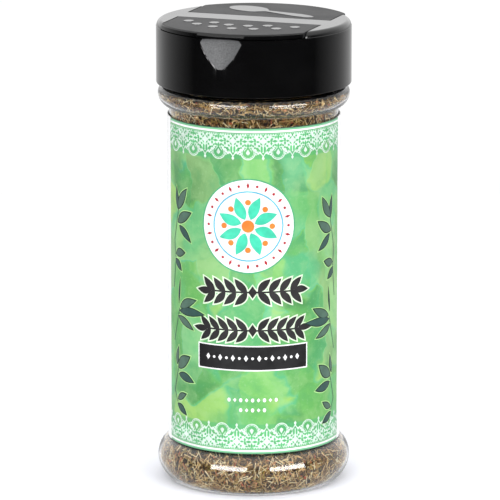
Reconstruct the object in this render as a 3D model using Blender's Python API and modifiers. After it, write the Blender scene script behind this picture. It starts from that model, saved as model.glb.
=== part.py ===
"""A round spice shaker: a clear jar of dried thyme with a wrap label and a screw cap that has two hinged flaps.

Metres, +Z up. The origin is the middle of the foot, on the surface that the jar stands on. The label's front
faces -Y. The cap is screwed on until its sifter side faces a little to the left of the label's front.
"""

import math
import random

import bmesh
import bpy
from mathutils import Matrix, Vector

# Jar: one blown shell with a rounded foot, a label panel, a rounded shoulder and a threaded neck
WALL = 0.0010
FOOT_RING_INNER = 0.0222
FOOT_RING_OUTER = 0.02435
PUSH_UP = 0.0024
FOOT_RADIUS = 0.02862
FOOT_WIDEST_Z = 0.00663
FOOT_LOWER_POWER = 1.62
FOOT_UPPER_POWER = 1.93
PANEL_RADIUS = 0.02503
PANEL_BOTTOM = 0.01265
PANEL_TOP = 0.11285
SHOULDER_RADIUS = 0.02833
SHOULDER_WIDEST_Z = 0.1167
SHOULDER_LOWER_POWER = 1.75
SHOULDER_TOP = 0.1195
NECK_RADIUS = 0.0253
NECK_BORE = 0.0238
NECK_FOOT_Z = 0.1198
MOUTH_Z = 0.1351
RIM_CHAMFER = 0.0003
JAR_STEPS = 48

# Thread: one round ridge on the neck, and one inside the cap half a pitch below it
THREAD_PITCH = 0.0036
THREAD_TURNS = 1.25
THREAD_START_Z = 0.1262
NECK_THREAD_CENTRE = 0.02565
NECK_THREAD_RIDGE = 0.0009
CAP_THREAD_CENTRE = 0.0271
CAP_THREAD_RIDGE = 0.0009
THREAD_POINTS_A_TURN = 20

# Label: a sheet wrapped round the panel, with its ends a little apart at the back
LABEL_RADIUS = 0.02563
LABEL_THICKNESS = 0.0003
LABEL_BOTTOM = 0.0129
LABEL_TOP = 0.11045
LABEL_BACK_GAP = 0.004

# Cap: skirt, deck, shoulders and the bar between the flaps, in one moulding
CAP_RADIUS = 0.0288
CAP_BORE = 0.0274
CAP_BOTTOM = 0.11985
CAP_TOP = 0.1385
CAP_EDGE_ROUND = 0.0018
DECK_BOTTOM = 0.1354
DECK_TOP = 0.1367
PARTING_STEP = 0.00012
BAR_HALF_WIDTH = 0.0040
POCKET_HALF_WIDTH = 0.0224
CAP_TURN = math.radians(-20.0)
CAP_STEPS = 64

# Thumb notches: a scoop in the skirt under each flap's edge, deepest at the top
NOTCH_BOTTOM = (0.1280, 0.00325, 0.0318)
NOTCH_MIDDLE = (0.1315, 0.0097, 0.0371)
NOTCH_WIDEST = (0.1355, 0.0160, 0.0426)
NOTCH_TOP = (0.1371, 0.0092, 0.0358)
NOTCH_BACKING = 0.0009
NOTCH_BACKING_LOW = 0.1275
SUNK = 0.0004
NOTCH_STEPS = 40

# Openings in the deck: round sifting holes in front, one half-moon for a spoon behind
SIFT_HOLE_RADIUS = 0.0025
SIFT_HOLES = [(-0.0126, 0.0085), (-0.0042, 0.0085), (0.0042, 0.0085), (0.0126, 0.0085)]
SIFT_HOLES += [(-0.0078, 0.0162), (0.0, 0.0172), (0.0078, 0.0162)]
SIFT_HOLE_STEPS = 16
POUR_RADIUS = 0.0216
POUR_CHORD = 0.0060
POUR_CORNER = 0.0020

# Flaps: each turns about a line at the top edge of the bar
HINGE_OUT = 0.00415
HINGE_Z = CAP_TOP
FLAP_HALF_WIDTH = 0.0220
FLAP_START = 0.0043
FLAP_BOTTOM = 0.1370
FLAP_EDGE_CHAMFER = 0.0004
FLAP_PLATE_BOTTOM = 0.1373
FLAP_RIM_WIDTH = 0.0015
LIP_HALF_WIDTH = 0.0072
LIP_PROUD = 0.0004
LIP_TOP = 0.1381
PEG_RADIUS = 0.0019
PEG_END = 0.1361
SEAL_GAP = 0.0006
SEAL_WIDTH = 0.0009
RELIEF = 0.00012
DOT_RADIUS = 0.0015
DOTS = [(0.0, 0.0188), (0.0063, 0.0176), (0.0123, 0.0148), (0.0030, 0.0132), (0.0083, 0.0110), (0.0165, 0.0105)]
SPOON_BOWL = (-0.0073, 0.0158)
SPOON_BOWL_SIZE = (0.0067, 0.0043)
SPOON_ANGLE = math.radians(-19.5)
SPOON_NECK_AT = 0.0063
SPOON_LENGTH = 0.0244
SPOON_NECK_WIDTH = 0.0017
SPOON_END_WIDTH = 0.0040
SPOON_END_ROUND = 0.006

# Dried thyme: a heap that fills the jar, with leaves and bits of stalk standing out of it wherever it shows
HEAP_GAP = 0.0017
HEAP_TOP = 0.1240
HEAP_CROWN = 0.0022
HEAP_STEPS = 32
HEAP_RIM = 0.0205
BIT_CLEARANCE = 0.0004
BIT_STAND = 0.0002
BIT_TURNS = 6
BIT_MOVES = 12
BIT_MOVE = 0.0001
LEAF_SIZE = (0.0054, 0.0021, 0.0012)
STALK_SIZE = (0.0080, 0.0010, 0.0010)
STALK_SHARE = 0.2
FOOT_BITS = 80
FOOT_BITS_Z = (0.0034, 0.0134)
SHOULDER_BITS = 46
SHOULDER_BITS_Z = (0.1106, 0.1192)
TOP_BITS = 24
GAP_BITS = 9
GAP_BITS_Z = (0.0180, 0.1060)
SEED = 30

PLASTIC_BLACK = (0.012, 0.012, 0.013, 1.0)
CLEAR_PLASTIC = (0.93, 0.95, 0.93, 0.30)
LABEL_GREEN = (0.30, 0.66, 0.30, 1.0)
THYME_BROWN = (0.32, 0.25, 0.12, 1.0)


def material(name, colour, roughness, alpha=1.0):
    """A plain Principled finish."""
    made = bpy.data.materials.new(name)
    made.use_nodes = True
    shader = made.node_tree.nodes["Principled BSDF"]
    shader.inputs["Base Color"].default_value = colour
    shader.inputs["Roughness"].default_value = roughness
    shader.inputs["Metallic"].default_value = 0.0
    shader.inputs["Alpha"].default_value = alpha
    return made


def linked(name, mesh, collection, parent=None):
    """An object of this mesh in a collection, under a parent if one is given."""
    obj = bpy.data.objects.new(name, mesh)
    collection.objects.link(obj)
    obj.parent = parent
    return obj


def as_cutter(obj):
    obj.hide_render = True
    obj.display_type = "WIRE"
    return obj


def superellipse(widest, end, power, points):
    """Points from the widest (r, z) to the end (r, z) of a quarter of a superellipse."""
    made = []
    for i in range(points):
        a = math.pi / 2 * i / (points - 1)
        across = max(math.cos(a), 0.0) ** (2 / power)
        along = math.sin(a) ** (2 / power)
        made.append((end[0] + (widest[0] - end[0]) * across, widest[1] + (end[1] - widest[1]) * along))
    return made


def turned(name, outline, steps, collection, parent=None):
    """A solid of revolution: outline is (r, z) points that run down the outer side."""
    mesh = bpy.data.meshes.new(name)
    count = len(outline)
    open_ended = outline[0][0] == 0 and outline[-1][0] == 0
    edges = [(i, i + 1) for i in range(count - 1)] + ([] if open_ended else [(count - 1, 0)])
    mesh.from_pydata([(r, 0, z) for r, z in outline], edges, [])
    obj = linked(name, mesh, collection, parent)
    screw = obj.modifiers.new("turn", "SCREW")
    screw.steps = screw.render_steps = steps
    screw.use_merge_vertices = True
    screw.merge_threshold = 0.00001
    return obj


def boolean(obj, other, operation):
    cut = obj.modifiers.new(other.name, "BOOLEAN")
    cut.operation = operation
    cut.object = other
    cut.solver = "EXACT"


def box(name, low, high, collection, parent=None):
    mesh = bpy.data.meshes.new(name)
    bm = bmesh.new()
    bmesh.ops.create_cube(bm, size=1.0)
    low, high = Vector(low), Vector(high)
    bmesh.ops.transform(bm, matrix=Matrix.Translation((low + high) / 2) @ Matrix.Diagonal((*(high - low), 1)), verts=bm.verts)
    bm.to_mesh(mesh)
    bm.free()
    return linked(name, mesh, collection, parent)


def cylinder(name, centre, radius, z_low, z_high, steps, collection, parent=None):
    mesh = bpy.data.meshes.new(name)
    bm = bmesh.new()
    place = Matrix.Translation((centre[0], centre[1], (z_low + z_high) / 2))
    bmesh.ops.create_cone(
        bm, cap_ends=True, segments=steps, radius1=radius, radius2=radius, depth=z_high - z_low, matrix=place
    )
    bm.to_mesh(mesh)
    bm.free()
    return linked(name, mesh, collection, parent)


def half_moon(name, radius, chord, z_low, z_high, corner, collection, parent=None):
    """A disc cut off at y = chord, with its two corners rounded, as an upright prism on the +Y side."""
    mesh = bpy.data.meshes.new(name)
    bm = bmesh.new()
    bmesh.ops.create_circle(bm, cap_ends=True, radius=radius, segments=CAP_STEPS, matrix=Matrix.Translation((0, 0, z_low)))
    every = bm.verts[:] + bm.edges[:] + bm.faces[:]
    bmesh.ops.bisect_plane(bm, geom=every, plane_co=(0, chord, 0), plane_no=(0, -1, 0), clear_outer=True)
    raised = bmesh.ops.extrude_face_region(bm, geom=bm.faces[:])["geom"]
    tops = [v for v in raised if isinstance(v, bmesh.types.BMVert)]
    bmesh.ops.translate(bm, verts=tops, vec=(0, 0, z_high - z_low))
    corners = [e for e in bm.edges if abs(e.verts[0].co.z - e.verts[1].co.z) > 1e-6 and abs(e.verts[0].co.y - chord) < 1e-7]
    bmesh.ops.bevel(
        bm, geom=corners, offset=corner, segments=3, profile=0.5, affect="EDGES", material=-1, clamp_overlap=True
    )
    bmesh.ops.recalc_face_normals(bm, faces=bm.faces)
    bm.to_mesh(mesh)
    bm.free()
    return linked(name, mesh, collection, parent)


def helix_ridge(name, radius, ridge, start_z, start_angle, collection, parent=None):
    """A round ridge that climbs round the axis, thinner towards both ends, as a closed mesh."""
    curve = bpy.data.curves.new(name, "CURVE")
    curve.dimensions = "3D"
    curve.bevel_depth = ridge
    curve.bevel_resolution = 2
    curve.use_fill_caps = True
    count = int(THREAD_TURNS * THREAD_POINTS_A_TURN) + 1
    spline = curve.splines.new("POLY")
    spline.points.add(count - 1)
    for i, point in enumerate(spline.points):
        along = i / (count - 1)
        angle = start_angle + along * THREAD_TURNS * 2 * math.pi
        point.co = (radius * math.cos(angle), radius * math.sin(angle), start_z + along * THREAD_TURNS * THREAD_PITCH, 1)
        point.radius = min(1.0, 0.45 + 8 * min(along, 1 - along))
    guide = linked(name + "_line", curve, collection)
    bpy.context.view_layer.update()
    mesh = bpy.data.meshes.new_from_object(guide.evaluated_get(bpy.context.evaluated_depsgraph_get()))
    bm = bmesh.new()
    bm.from_mesh(mesh)
    bmesh.ops.remove_doubles(bm, verts=bm.verts, dist=0.000002)
    bmesh.ops.recalc_face_normals(bm, faces=bm.faces)
    bm.to_mesh(mesh)
    bm.free()
    bpy.data.objects.remove(guide)
    return linked(name, mesh, collection, parent)


def jar_outside():
    """(r, z) points of the jar's outer side, from the mouth down to the middle of the foot."""
    shoulder = (SHOULDER_RADIUS, SHOULDER_WIDEST_Z)
    foot = (FOOT_RADIUS, FOOT_WIDEST_Z)
    points = [(NECK_RADIUS - RIM_CHAMFER, MOUTH_Z), (NECK_RADIUS, MOUTH_Z - RIM_CHAMFER), (NECK_RADIUS, NECK_FOOT_Z)]
    points += superellipse(shoulder, (NECK_RADIUS + 0.0006, SHOULDER_TOP), 2.0, 3)[::-1]
    points += superellipse(shoulder, (PANEL_RADIUS, PANEL_TOP), SHOULDER_LOWER_POWER, 5)[1:]
    points += superellipse(foot, (PANEL_RADIUS, PANEL_BOTTOM), FOOT_UPPER_POWER, 5)[::-1]
    points += superellipse(foot, (FOOT_RING_OUTER, 0.0), FOOT_LOWER_POWER, 5)[1:]
    points += [(FOOT_RING_INNER, 0.0), (FOOT_RING_INNER - 0.0022, PUSH_UP * 0.6), (0.0, PUSH_UP)]
    return points


def jar_inside():
    """(r, z) points of the jar's inner side, from the middle of the floor up to the mouth."""
    foot = (FOOT_RADIUS - WALL, FOOT_WIDEST_Z)
    shoulder = (SHOULDER_RADIUS - WALL, SHOULDER_WIDEST_Z - 0.0002)
    panel = PANEL_RADIUS - WALL
    points = [(0.0, PUSH_UP + WALL), (FOOT_RING_INNER - 0.0028, PUSH_UP * 0.6 + WALL), (FOOT_RING_INNER, WALL * 1.1)]
    points += superellipse(foot, (FOOT_RING_OUTER - 0.0006, WALL * 1.1), FOOT_LOWER_POWER, 4)[::-1]
    points += superellipse(foot, (panel, PANEL_BOTTOM - 0.0003), FOOT_UPPER_POWER, 4)[1:]
    points += superellipse(shoulder, (panel, PANEL_TOP + 0.0004), SHOULDER_LOWER_POWER, 4)[::-1]
    points += superellipse(shoulder, (NECK_BORE + 0.0008, SHOULDER_TOP - 0.0008), 2.0, 3)[1:]
    points += [(NECK_BORE, NECK_FOOT_Z), (NECK_BORE, MOUTH_Z - RIM_CHAMFER), (NECK_BORE + RIM_CHAMFER, MOUTH_Z)]
    return points


def inside_radius(z):
    """The jar's inner radius at a height."""
    points = [p for p in jar_inside() if p[0] > FOOT_RING_INNER - 0.0001]
    for (r0, z0), (r1, z1) in zip(points, points[1:]):
        if z0 <= z <= z1 and z1 > z0:
            return r0 + (r1 - r0) * (z - z0) / (z1 - z0)
    return points[0][0] if z < points[0][1] else NECK_BORE


def floor_height(r):
    """The height of the jar's inner floor at a radius."""
    (_, middle), (edge_r, edge_z), (ring_r, ring_z) = jar_inside()[:3]
    if r <= edge_r:
        return middle + (edge_z - middle) * r / edge_r
    return edge_z + (ring_z - edge_z) * min(1.0, (r - edge_r) / (ring_r - edge_r))


def make_jar(parts, cutters):
    jar = turned("jar", jar_inside() + jar_outside(), JAR_STEPS, parts)
    jar.data.materials.append(material("clear_plastic", CLEAR_PLASTIC, 0.05, CLEAR_PLASTIC[3]))
    ridge = helix_ridge("neck_thread", NECK_THREAD_CENTRE, NECK_THREAD_RIDGE, THREAD_START_Z, 0.0, cutters)
    boolean(jar, as_cutter(ridge), "UNION")
    return jar


def make_label(parts, cutters):
    inner = LABEL_RADIUS - LABEL_THICKNESS
    outline = [(inner, LABEL_BOTTOM), (inner, LABEL_TOP), (LABEL_RADIUS, LABEL_TOP), (LABEL_RADIUS, LABEL_BOTTOM)]
    label = turned("label", outline, JAR_STEPS, parts)
    label.data.materials.append(material("printed_label", LABEL_GREEN, 0.4))
    half = LABEL_BACK_GAP / 2
    low = (-half, inner * 0.5, LABEL_BOTTOM - 0.001)
    high = (half, LABEL_RADIUS + 0.002, LABEL_TOP + 0.001)
    boolean(label, as_cutter(box("label_ends_cut", low, high, cutters)), "DIFFERENCE")
    return label


def notch_scoop(name, side, grow, collection, parent):
    """The scoop under a flap's edge: circles (z, radius, distance out) bridged into a closed body, grown by a wall."""
    mesh = bpy.data.meshes.new(name)
    bm = bmesh.new()
    rings = []
    for z, radius, out in (NOTCH_BOTTOM, NOTCH_MIDDLE, NOTCH_WIDEST, NOTCH_TOP):
        low = grow if z == NOTCH_BOTTOM[0] else 0.0
        place = Matrix.Translation((0, side * out, z - low))
        made = bmesh.ops.create_circle(bm, cap_ends=False, radius=radius + grow, segments=NOTCH_STEPS, matrix=place)
        rings.append(made["verts"])
    loops = [[e for e in bm.edges if e.verts[0] in ring and e.verts[1] in ring] for ring in rings]
    for lower, upper in zip(loops, loops[1:]):
        bmesh.ops.bridge_loops(bm, edges=lower + upper)
    bmesh.ops.holes_fill(bm, edges=loops[0] + loops[-1], sides=0)
    bmesh.ops.recalc_face_normals(bm, faces=bm.faces)
    bm.to_mesh(mesh)
    bm.free()
    return linked(name, mesh, collection, parent)


def make_cap(parts, cutters, turn):
    rounding = superellipse(
        (CAP_RADIUS - PARTING_STEP, CAP_TOP - CAP_EDGE_ROUND), (CAP_RADIUS - CAP_EDGE_ROUND, CAP_TOP), 2.0, 4
    )[::-1]
    outline = [(0.0, CAP_TOP)] + rounding
    outline += [(CAP_RADIUS - PARTING_STEP, DECK_TOP + 0.0002), (CAP_RADIUS, DECK_TOP), (CAP_RADIUS, CAP_BOTTOM + 0.0003)]
    outline += [(CAP_RADIUS - 0.0003, CAP_BOTTOM), (CAP_BORE, CAP_BOTTOM), (CAP_BORE, DECK_BOTTOM - 0.0008)]
    outline += [(CAP_BORE - 0.0005, DECK_BOTTOM), (0.0, DECK_BOTTOM)]
    cap = turned("cap", outline, CAP_STEPS, parts, turn)
    cap.data.materials.append(material("black_plastic", PLASTIC_BLACK, 0.15))

    within = [(0.0, DECK_BOTTOM + SUNK), (CAP_BORE + SUNK, DECK_BOTTOM + SUNK)]
    within += [(CAP_BORE + SUNK, NOTCH_BACKING_LOW), (0.0, NOTCH_BACKING_LOW)]
    inside = as_cutter(turned("cap_inside", within, CAP_STEPS - 8, cutters, turn))
    for side, name in ((-1, "sifter"), (1, "spoon")):
        backing = as_cutter(notch_scoop(f"{name}_notch_backing", side, NOTCH_BACKING, cutters, turn))
        boolean(backing, inside, "INTERSECT")
        boolean(cap, backing, "UNION")

    for side, name in ((-1, "sifter"), (1, "spoon")):
        near, far = sorted((side * BAR_HALF_WIDTH, side * (CAP_RADIUS + 0.002)))
        low = (-POCKET_HALF_WIDTH, near, DECK_TOP)
        high = (POCKET_HALF_WIDTH, far, CAP_TOP + 0.001)
        boolean(cap, as_cutter(box(f"{name}_pocket", low, high, cutters, turn)), "DIFFERENCE")
        boolean(cap, as_cutter(notch_scoop(f"{name}_notch", side, 0.0, cutters, turn)), "DIFFERENCE")

    for i, (x, out) in enumerate(SIFT_HOLES):
        place = (x, -out)
        hole = cylinder(
            f"sift_hole_{i}", place, SIFT_HOLE_RADIUS, DECK_BOTTOM - 0.001, DECK_TOP + 0.001, SIFT_HOLE_STEPS, cutters, turn
        )
        boolean(cap, as_cutter(hole), "DIFFERENCE")
    pour = half_moon(
        "pour_hole", POUR_RADIUS, POUR_CHORD, DECK_BOTTOM - 0.001, DECK_TOP + 0.001, POUR_CORNER, cutters, turn
    )
    boolean(cap, as_cutter(pour), "DIFFERENCE")
    ridge = helix_ridge(
        "cap_thread", CAP_THREAD_CENTRE, CAP_THREAD_RIDGE, THREAD_START_Z - THREAD_PITCH / 2, -CAP_TURN, cutters, turn
    )
    boolean(cap, as_cutter(ridge), "UNION")
    return cap


def flap_blank(name, side, parts, cutters, hinge):
    """A flap before its underside details: a plate with a rim and a thumb lip, on the side of the bar given."""
    outline = [(0.0, CAP_TOP), (CAP_RADIUS - FLAP_EDGE_CHAMFER, CAP_TOP), (CAP_RADIUS - 0.0001, CAP_TOP - FLAP_EDGE_CHAMFER)]
    outline += [(CAP_RADIUS, FLAP_BOTTOM), (0.0, FLAP_BOTTOM)]
    flap = turned(name, outline, CAP_STEPS, parts, hinge)
    flap.location = -hinge.location

    def cutter(made):
        made.location = -hinge.location
        return as_cutter(made)

    near, far = sorted((side * FLAP_START, side * (CAP_RADIUS + 0.002)))
    low, high = (-FLAP_HALF_WIDTH, near, FLAP_BOTTOM - 0.001), (FLAP_HALF_WIDTH, far, CAP_TOP + 0.001)
    boolean(flap, cutter(box(f"{name}_outline", low, high, cutters, hinge)), "INTERSECT")

    tray = turned(
        f"{name}_tray",
        [(0.0, FLAP_PLATE_BOTTOM), (CAP_RADIUS - FLAP_RIM_WIDTH, FLAP_PLATE_BOTTOM), (CAP_RADIUS - FLAP_RIM_WIDTH, FLAP_BOTTOM - 0.001), (0.0, FLAP_BOTTOM - 0.001)],
        CAP_STEPS,
        cutters,
        hinge,
    )
    inner = FLAP_HALF_WIDTH - FLAP_RIM_WIDTH
    near, far = sorted((side * (FLAP_START + FLAP_RIM_WIDTH), side * CAP_RADIUS))
    low, high = (-inner, near, FLAP_BOTTOM - 0.002), (inner, far, CAP_TOP)
    boolean(tray, cutter(box(f"{name}_tray_outline", low, high, cutters, hinge)), "INTERSECT")
    boolean(flap, cutter(tray), "DIFFERENCE")

    lip_outline = [(0.02, LIP_TOP), (CAP_RADIUS, LIP_TOP), (CAP_RADIUS + LIP_PROUD, LIP_TOP - LIP_PROUD)]
    lip_outline += [(CAP_RADIUS + LIP_PROUD, FLAP_BOTTOM), (CAP_RADIUS - 0.001, FLAP_BOTTOM), (0.02, LIP_TOP - 0.0003)]
    lip = turned(f"{name}_lip", lip_outline, CAP_STEPS, cutters, hinge)
    near, far = sorted((side * 0.024, side * (CAP_RADIUS + 0.003)))
    low, high = (-LIP_HALF_WIDTH, near, FLAP_BOTTOM - 0.002), (LIP_HALF_WIDTH, far, CAP_TOP)
    boolean(lip, cutter(box(f"{name}_lip_outline", low, high, cutters, hinge)), "INTERSECT")
    boolean(flap, cutter(lip), "UNION")
    flap.data.materials.append(bpy.data.materials["black_plastic"])
    return flap, cutter


def make_sifter_flap(parts, cutters, hinge):
    flap, cutter = flap_blank("sifter_flap", -1, parts, cutters, hinge)
    for i, (x, out) in enumerate(SIFT_HOLES):
        peg = cylinder(
            f"peg_{i}", (x, -out), PEG_RADIUS, PEG_END, FLAP_PLATE_BOTTOM + 0.0004, SIFT_HOLE_STEPS // 2, cutters, hinge
        )
        boolean(flap, cutter(peg), "UNION")
    dots = DOTS + [(-x, out) for x, out in DOTS if x > 0]
    for i, (x, out) in enumerate(dots):
        dot = cylinder(
            f"dot_{i}", (x, -out), DOT_RADIUS, CAP_TOP - 0.0004, CAP_TOP + RELIEF, SIFT_HOLE_STEPS // 2, cutters, hinge
        )
        boolean(flap, cutter(dot), "UNION")
    return flap


def spoon_relief(collection, parent):
    """The spoon sign that stands up from the flap: an oval bowl and a handle that widens to a round end."""
    mesh = bpy.data.meshes.new("spoon_sign")
    half_bowl, half_wide = SPOON_BOWL_SIZE
    side_points = []
    for i in range(7):
        a = math.pi - i * math.pi / 7
        side_points.append((half_bowl * math.cos(a), half_wide * math.sin(a)))
    side_points += [(SPOON_NECK_AT, SPOON_NECK_WIDTH / 2), (SPOON_LENGTH - SPOON_END_ROUND, SPOON_END_WIDTH / 2)]
    for i in range(1, 4):
        a = math.pi / 2 - i * math.pi / 8
        side_points.append((SPOON_LENGTH - SPOON_END_ROUND * (1 - math.cos(a)), SPOON_END_WIDTH / 2 * math.sin(a)))
    outline = side_points + [(SPOON_LENGTH, 0.0)] + [(x, -y) for x, y in side_points[:0:-1]]
    bm = bmesh.new()
    bottom = [bm.verts.new((x, y, CAP_TOP - 0.0004)) for x, y in outline]
    bm.faces.new(bottom)
    raised = bmesh.ops.extrude_face_region(bm, geom=bm.faces[:])["geom"]
    tops = [v for v in raised if isinstance(v, bmesh.types.BMVert)]
    bmesh.ops.translate(bm, verts=tops, vec=(0, 0, 0.0004 + RELIEF))
    place = Matrix.Translation((*SPOON_BOWL, 0)) @ Matrix.Rotation(SPOON_ANGLE, 4, "Z")
    bmesh.ops.transform(bm, matrix=place, verts=bm.verts)
    bmesh.ops.recalc_face_normals(bm, faces=bm.faces)
    bm.to_mesh(mesh)
    bm.free()
    return linked("spoon_sign", mesh, collection, parent)


def make_spoon_flap(parts, cutters, hinge):
    flap, cutter = flap_blank("spoon_flap", 1, parts, cutters, hinge)
    top = FLAP_PLATE_BOTTOM + 0.0004
    outer = (POUR_RADIUS - SEAL_GAP, POUR_CHORD + SEAL_GAP)
    inner = (outer[0] - SEAL_WIDTH, outer[1] + SEAL_WIDTH)
    seal = half_moon("seal_bead", *outer, PEG_END, top, POUR_CORNER, cutters, hinge)
    inside = half_moon("seal_bead_inside", *inner, PEG_END - 0.001, top + 0.001, POUR_CORNER * 0.6, cutters, hinge)
    boolean(seal, cutter(inside), "DIFFERENCE")
    boolean(flap, cutter(seal), "UNION")
    boolean(flap, cutter(spoon_relief(cutters, hinge)), "UNION")
    return flap


def heap_outline():
    """(r, z) points of the heap's core: from the crown down its side, then in along its underside."""
    points = [(0.0, HEAP_TOP + HEAP_CROWN), (0.012, HEAP_TOP + HEAP_CROWN * 0.6), (HEAP_RIM, HEAP_TOP)]
    side = [p for p in jar_inside() if 0.0018 < p[1] < HEAP_TOP and p[0] > FOOT_RING_INNER]
    points.append((NECK_BORE - HEAP_GAP, HEAP_TOP - 0.0016))
    points += [(r - HEAP_GAP, z) for r, z in reversed(side)]
    low = WALL * 1.1 + HEAP_GAP
    points += [(FOOT_RING_INNER - 0.0005, low), (0.0190, floor_height(0.0190) + HEAP_GAP)]
    points.append((0.0, floor_height(0.0) + HEAP_GAP))
    return points


def bit_shape(kind):
    """A closed mesh along X: a dried leaf, pointed at both ends, or a four-sided piece of stalk."""
    bm = bmesh.new()
    if kind == "leaf":
        size = LEAF_SIZE
        corners = [(-0.5, 0, 0), (-0.08, 0.5, -0.1), (-0.08, -0.5, -0.1), (0.5, 0, 0.1), (0, 0, 0.5), (0, 0, -0.5)]
        bmesh.ops.convex_hull(bm, input=[bm.verts.new(c) for c in corners])
    else:
        size = STALK_SIZE
        along = Matrix.Rotation(math.pi / 2, 4, "Y")
        bmesh.ops.create_cone(bm, cap_ends=True, segments=4, radius1=0.62, radius2=0.5, depth=1.0, matrix=along)
    bmesh.ops.transform(bm, matrix=Matrix.Diagonal((*size, 1)), verts=bm.verts)
    bmesh.ops.recalc_face_normals(bm, faces=bm.faces)
    return bm


def too_near(bm, place):
    """How far a bit, put at this place, reaches into the clearance that it keeps from the jar."""
    worst = 0.0
    for edge in bm.edges:
        start, end = (place @ v.co for v in edge.verts)
        for i in range(5):
            point = start.lerp(end, i / 4)
            r = math.hypot(point.x, point.y)
            worst = max(worst, r - inside_radius(point.z) + BIT_CLEARANCE)
            worst = max(worst, floor_height(r) + BIT_CLEARANCE - point.z)
    return worst


def bit_places():
    """(place, outward direction) for every bit: round the foot, round the shoulder, on top, and behind the label's gap."""
    golden = math.pi * (3 - math.sqrt(5))
    spread = (math.sqrt(5) - 1) / 2
    slope_step = 0.0006

    def on_side(z, angle):
        r = inside_radius(z) - HEAP_GAP
        slope = (inside_radius(z + slope_step) - inside_radius(z - slope_step)) / (2 * slope_step)
        out = Vector((math.cos(angle), math.sin(angle), -max(-2.0, min(2.0, slope)))).normalized()
        return Vector((r * math.cos(angle), r * math.sin(angle), z)), out

    places = []
    for count, (low, high) in ((FOOT_BITS, FOOT_BITS_Z), (SHOULDER_BITS, SHOULDER_BITS_Z)):
        places += [on_side(low + (high - low) * ((i * spread) % 1.0), i * golden) for i in range(count)]
    for i in range(TOP_BITS):
        r = (NECK_BORE - 0.0040) * math.sqrt((i + 0.5) / TOP_BITS)
        z = HEAP_TOP + HEAP_CROWN * (1 - (r / HEAP_RIM) ** 1.6)
        places.append((Vector((r * math.cos(i * golden), r * math.sin(i * golden), z)), Vector((0, 0, 1))))
    low, high = GAP_BITS_Z
    places += [on_side(low + (high - low) * (i + 0.5) / GAP_BITS, math.pi / 2) for i in range(GAP_BITS)]
    return places


def put_bit(rng, kind, spot, out):
    """A bit at a spot on the heap, at the random turn that keeps it clearest of the jar."""
    bm = bit_shape(kind)
    stand = Matrix.Translation(spot + out * BIT_STAND) @ out.to_track_quat("Z", "Y").to_matrix().to_4x4()
    size = Matrix.Scale(rng.uniform(0.85, 1.12), 4)
    turns = []
    for _ in range(BIT_TURNS):
        lie = Matrix.Rotation(rng.uniform(0, 2 * math.pi), 4, "Z") @ Matrix.Rotation(rng.uniform(-0.14, 0.14), 4, "Y")
        turns.append(stand @ lie @ size)
    best = min(turns, key=lambda place: round(too_near(bm, place), 4))
    inward = Vector((-spot.x, -spot.y, 0)).normalized()
    for _ in range(BIT_MOVES):
        if too_near(bm, best) > 0:
            best = Matrix.Translation(inward * BIT_MOVE) @ best
    bmesh.ops.transform(bm, matrix=best, verts=bm.verts)
    return bm


def shells(bm):
    """The mesh's separate closed shells, as lists of faces."""
    left, found = set(bm.faces), []
    while left:
        shell, edge_of = [], [left.pop()]
        while edge_of:
            face = edge_of.pop()
            shell.append(face)
            for edge in face.edges:
                for other in edge.link_faces:
                    if other in left:
                        left.remove(other)
                        edge_of.append(other)
        found.append(shell)
    return found


def make_thyme(parts, scratch):
    thyme = turned("thyme", heap_outline(), HEAP_STEPS, parts)
    thyme.data.materials.append(material("dried_thyme", THYME_BROWN, 0.9))
    rng = random.Random(SEED)
    for i, (spot, out) in enumerate(bit_places()):
        bm = put_bit(rng, "stalk" if rng.random() < STALK_SHARE else "leaf", spot, out)
        mesh = bpy.data.meshes.new(f"bit_{i}")
        bm.to_mesh(mesh)
        bm.free()
        linked(f"bit_{i}", mesh, scratch)
    join = thyme.modifiers.new("bits", "BOOLEAN")
    join.operation = "UNION"
    join.operand_type = "COLLECTION"
    join.collection = scratch
    join.solver = "MANIFOLD"
    bpy.context.view_layer.update()
    joined = bpy.data.meshes.new_from_object(thyme.evaluated_get(bpy.context.evaluated_depsgraph_get()))
    thyme.modifiers.clear()
    for bit in list(scratch.objects):
        bpy.data.objects.remove(bit)

    bm = bmesh.new()
    bm.from_mesh(joined)
    heap = set(max(shells(bm), key=len))
    bmesh.ops.delete(bm, geom=[f for f in bm.faces if f not in heap], context="FACES")
    bm.to_mesh(joined)
    bm.free()
    thyme.data = joined
    return thyme


def empty(name, location, parent, collection):
    made = bpy.data.objects.new(name, None)
    made.location = location
    made.parent = parent
    collection.objects.link(made)
    return made


def main():
    for obj in list(bpy.data.objects):
        bpy.data.objects.remove(obj)
    root = bpy.context.scene.collection
    parts = bpy.data.collections.new("thyme_shaker")
    cutters = bpy.data.collections.new("cutters")
    scratch = bpy.data.collections.new("thyme_bits")
    for collection in (parts, cutters, scratch):
        root.children.link(collection)

    make_jar(parts, cutters)
    make_label(parts, cutters)
    turn = empty("cap_turn", (0, 0, 0), None, parts)
    turn.rotation_euler = (0, 0, CAP_TURN)
    make_cap(parts, cutters, turn)
    make_sifter_flap(parts, cutters, empty("sifter_hinge", Vector((0, -HINGE_OUT, HINGE_Z)), turn, parts))
    make_spoon_flap(parts, cutters, empty("spoon_hinge", Vector((0, HINGE_OUT, HINGE_Z)), turn, parts))
    make_thyme(parts, scratch)


main()
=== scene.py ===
"""The looks of a clear spice shaker full of dried thyme: jar, heap, label, screw cap and its two flaps."""

import logging
import math
import random
from dataclasses import dataclass, field
from enum import Enum

import bmesh
import bpy
from mathutils import Matrix, Vector


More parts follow.
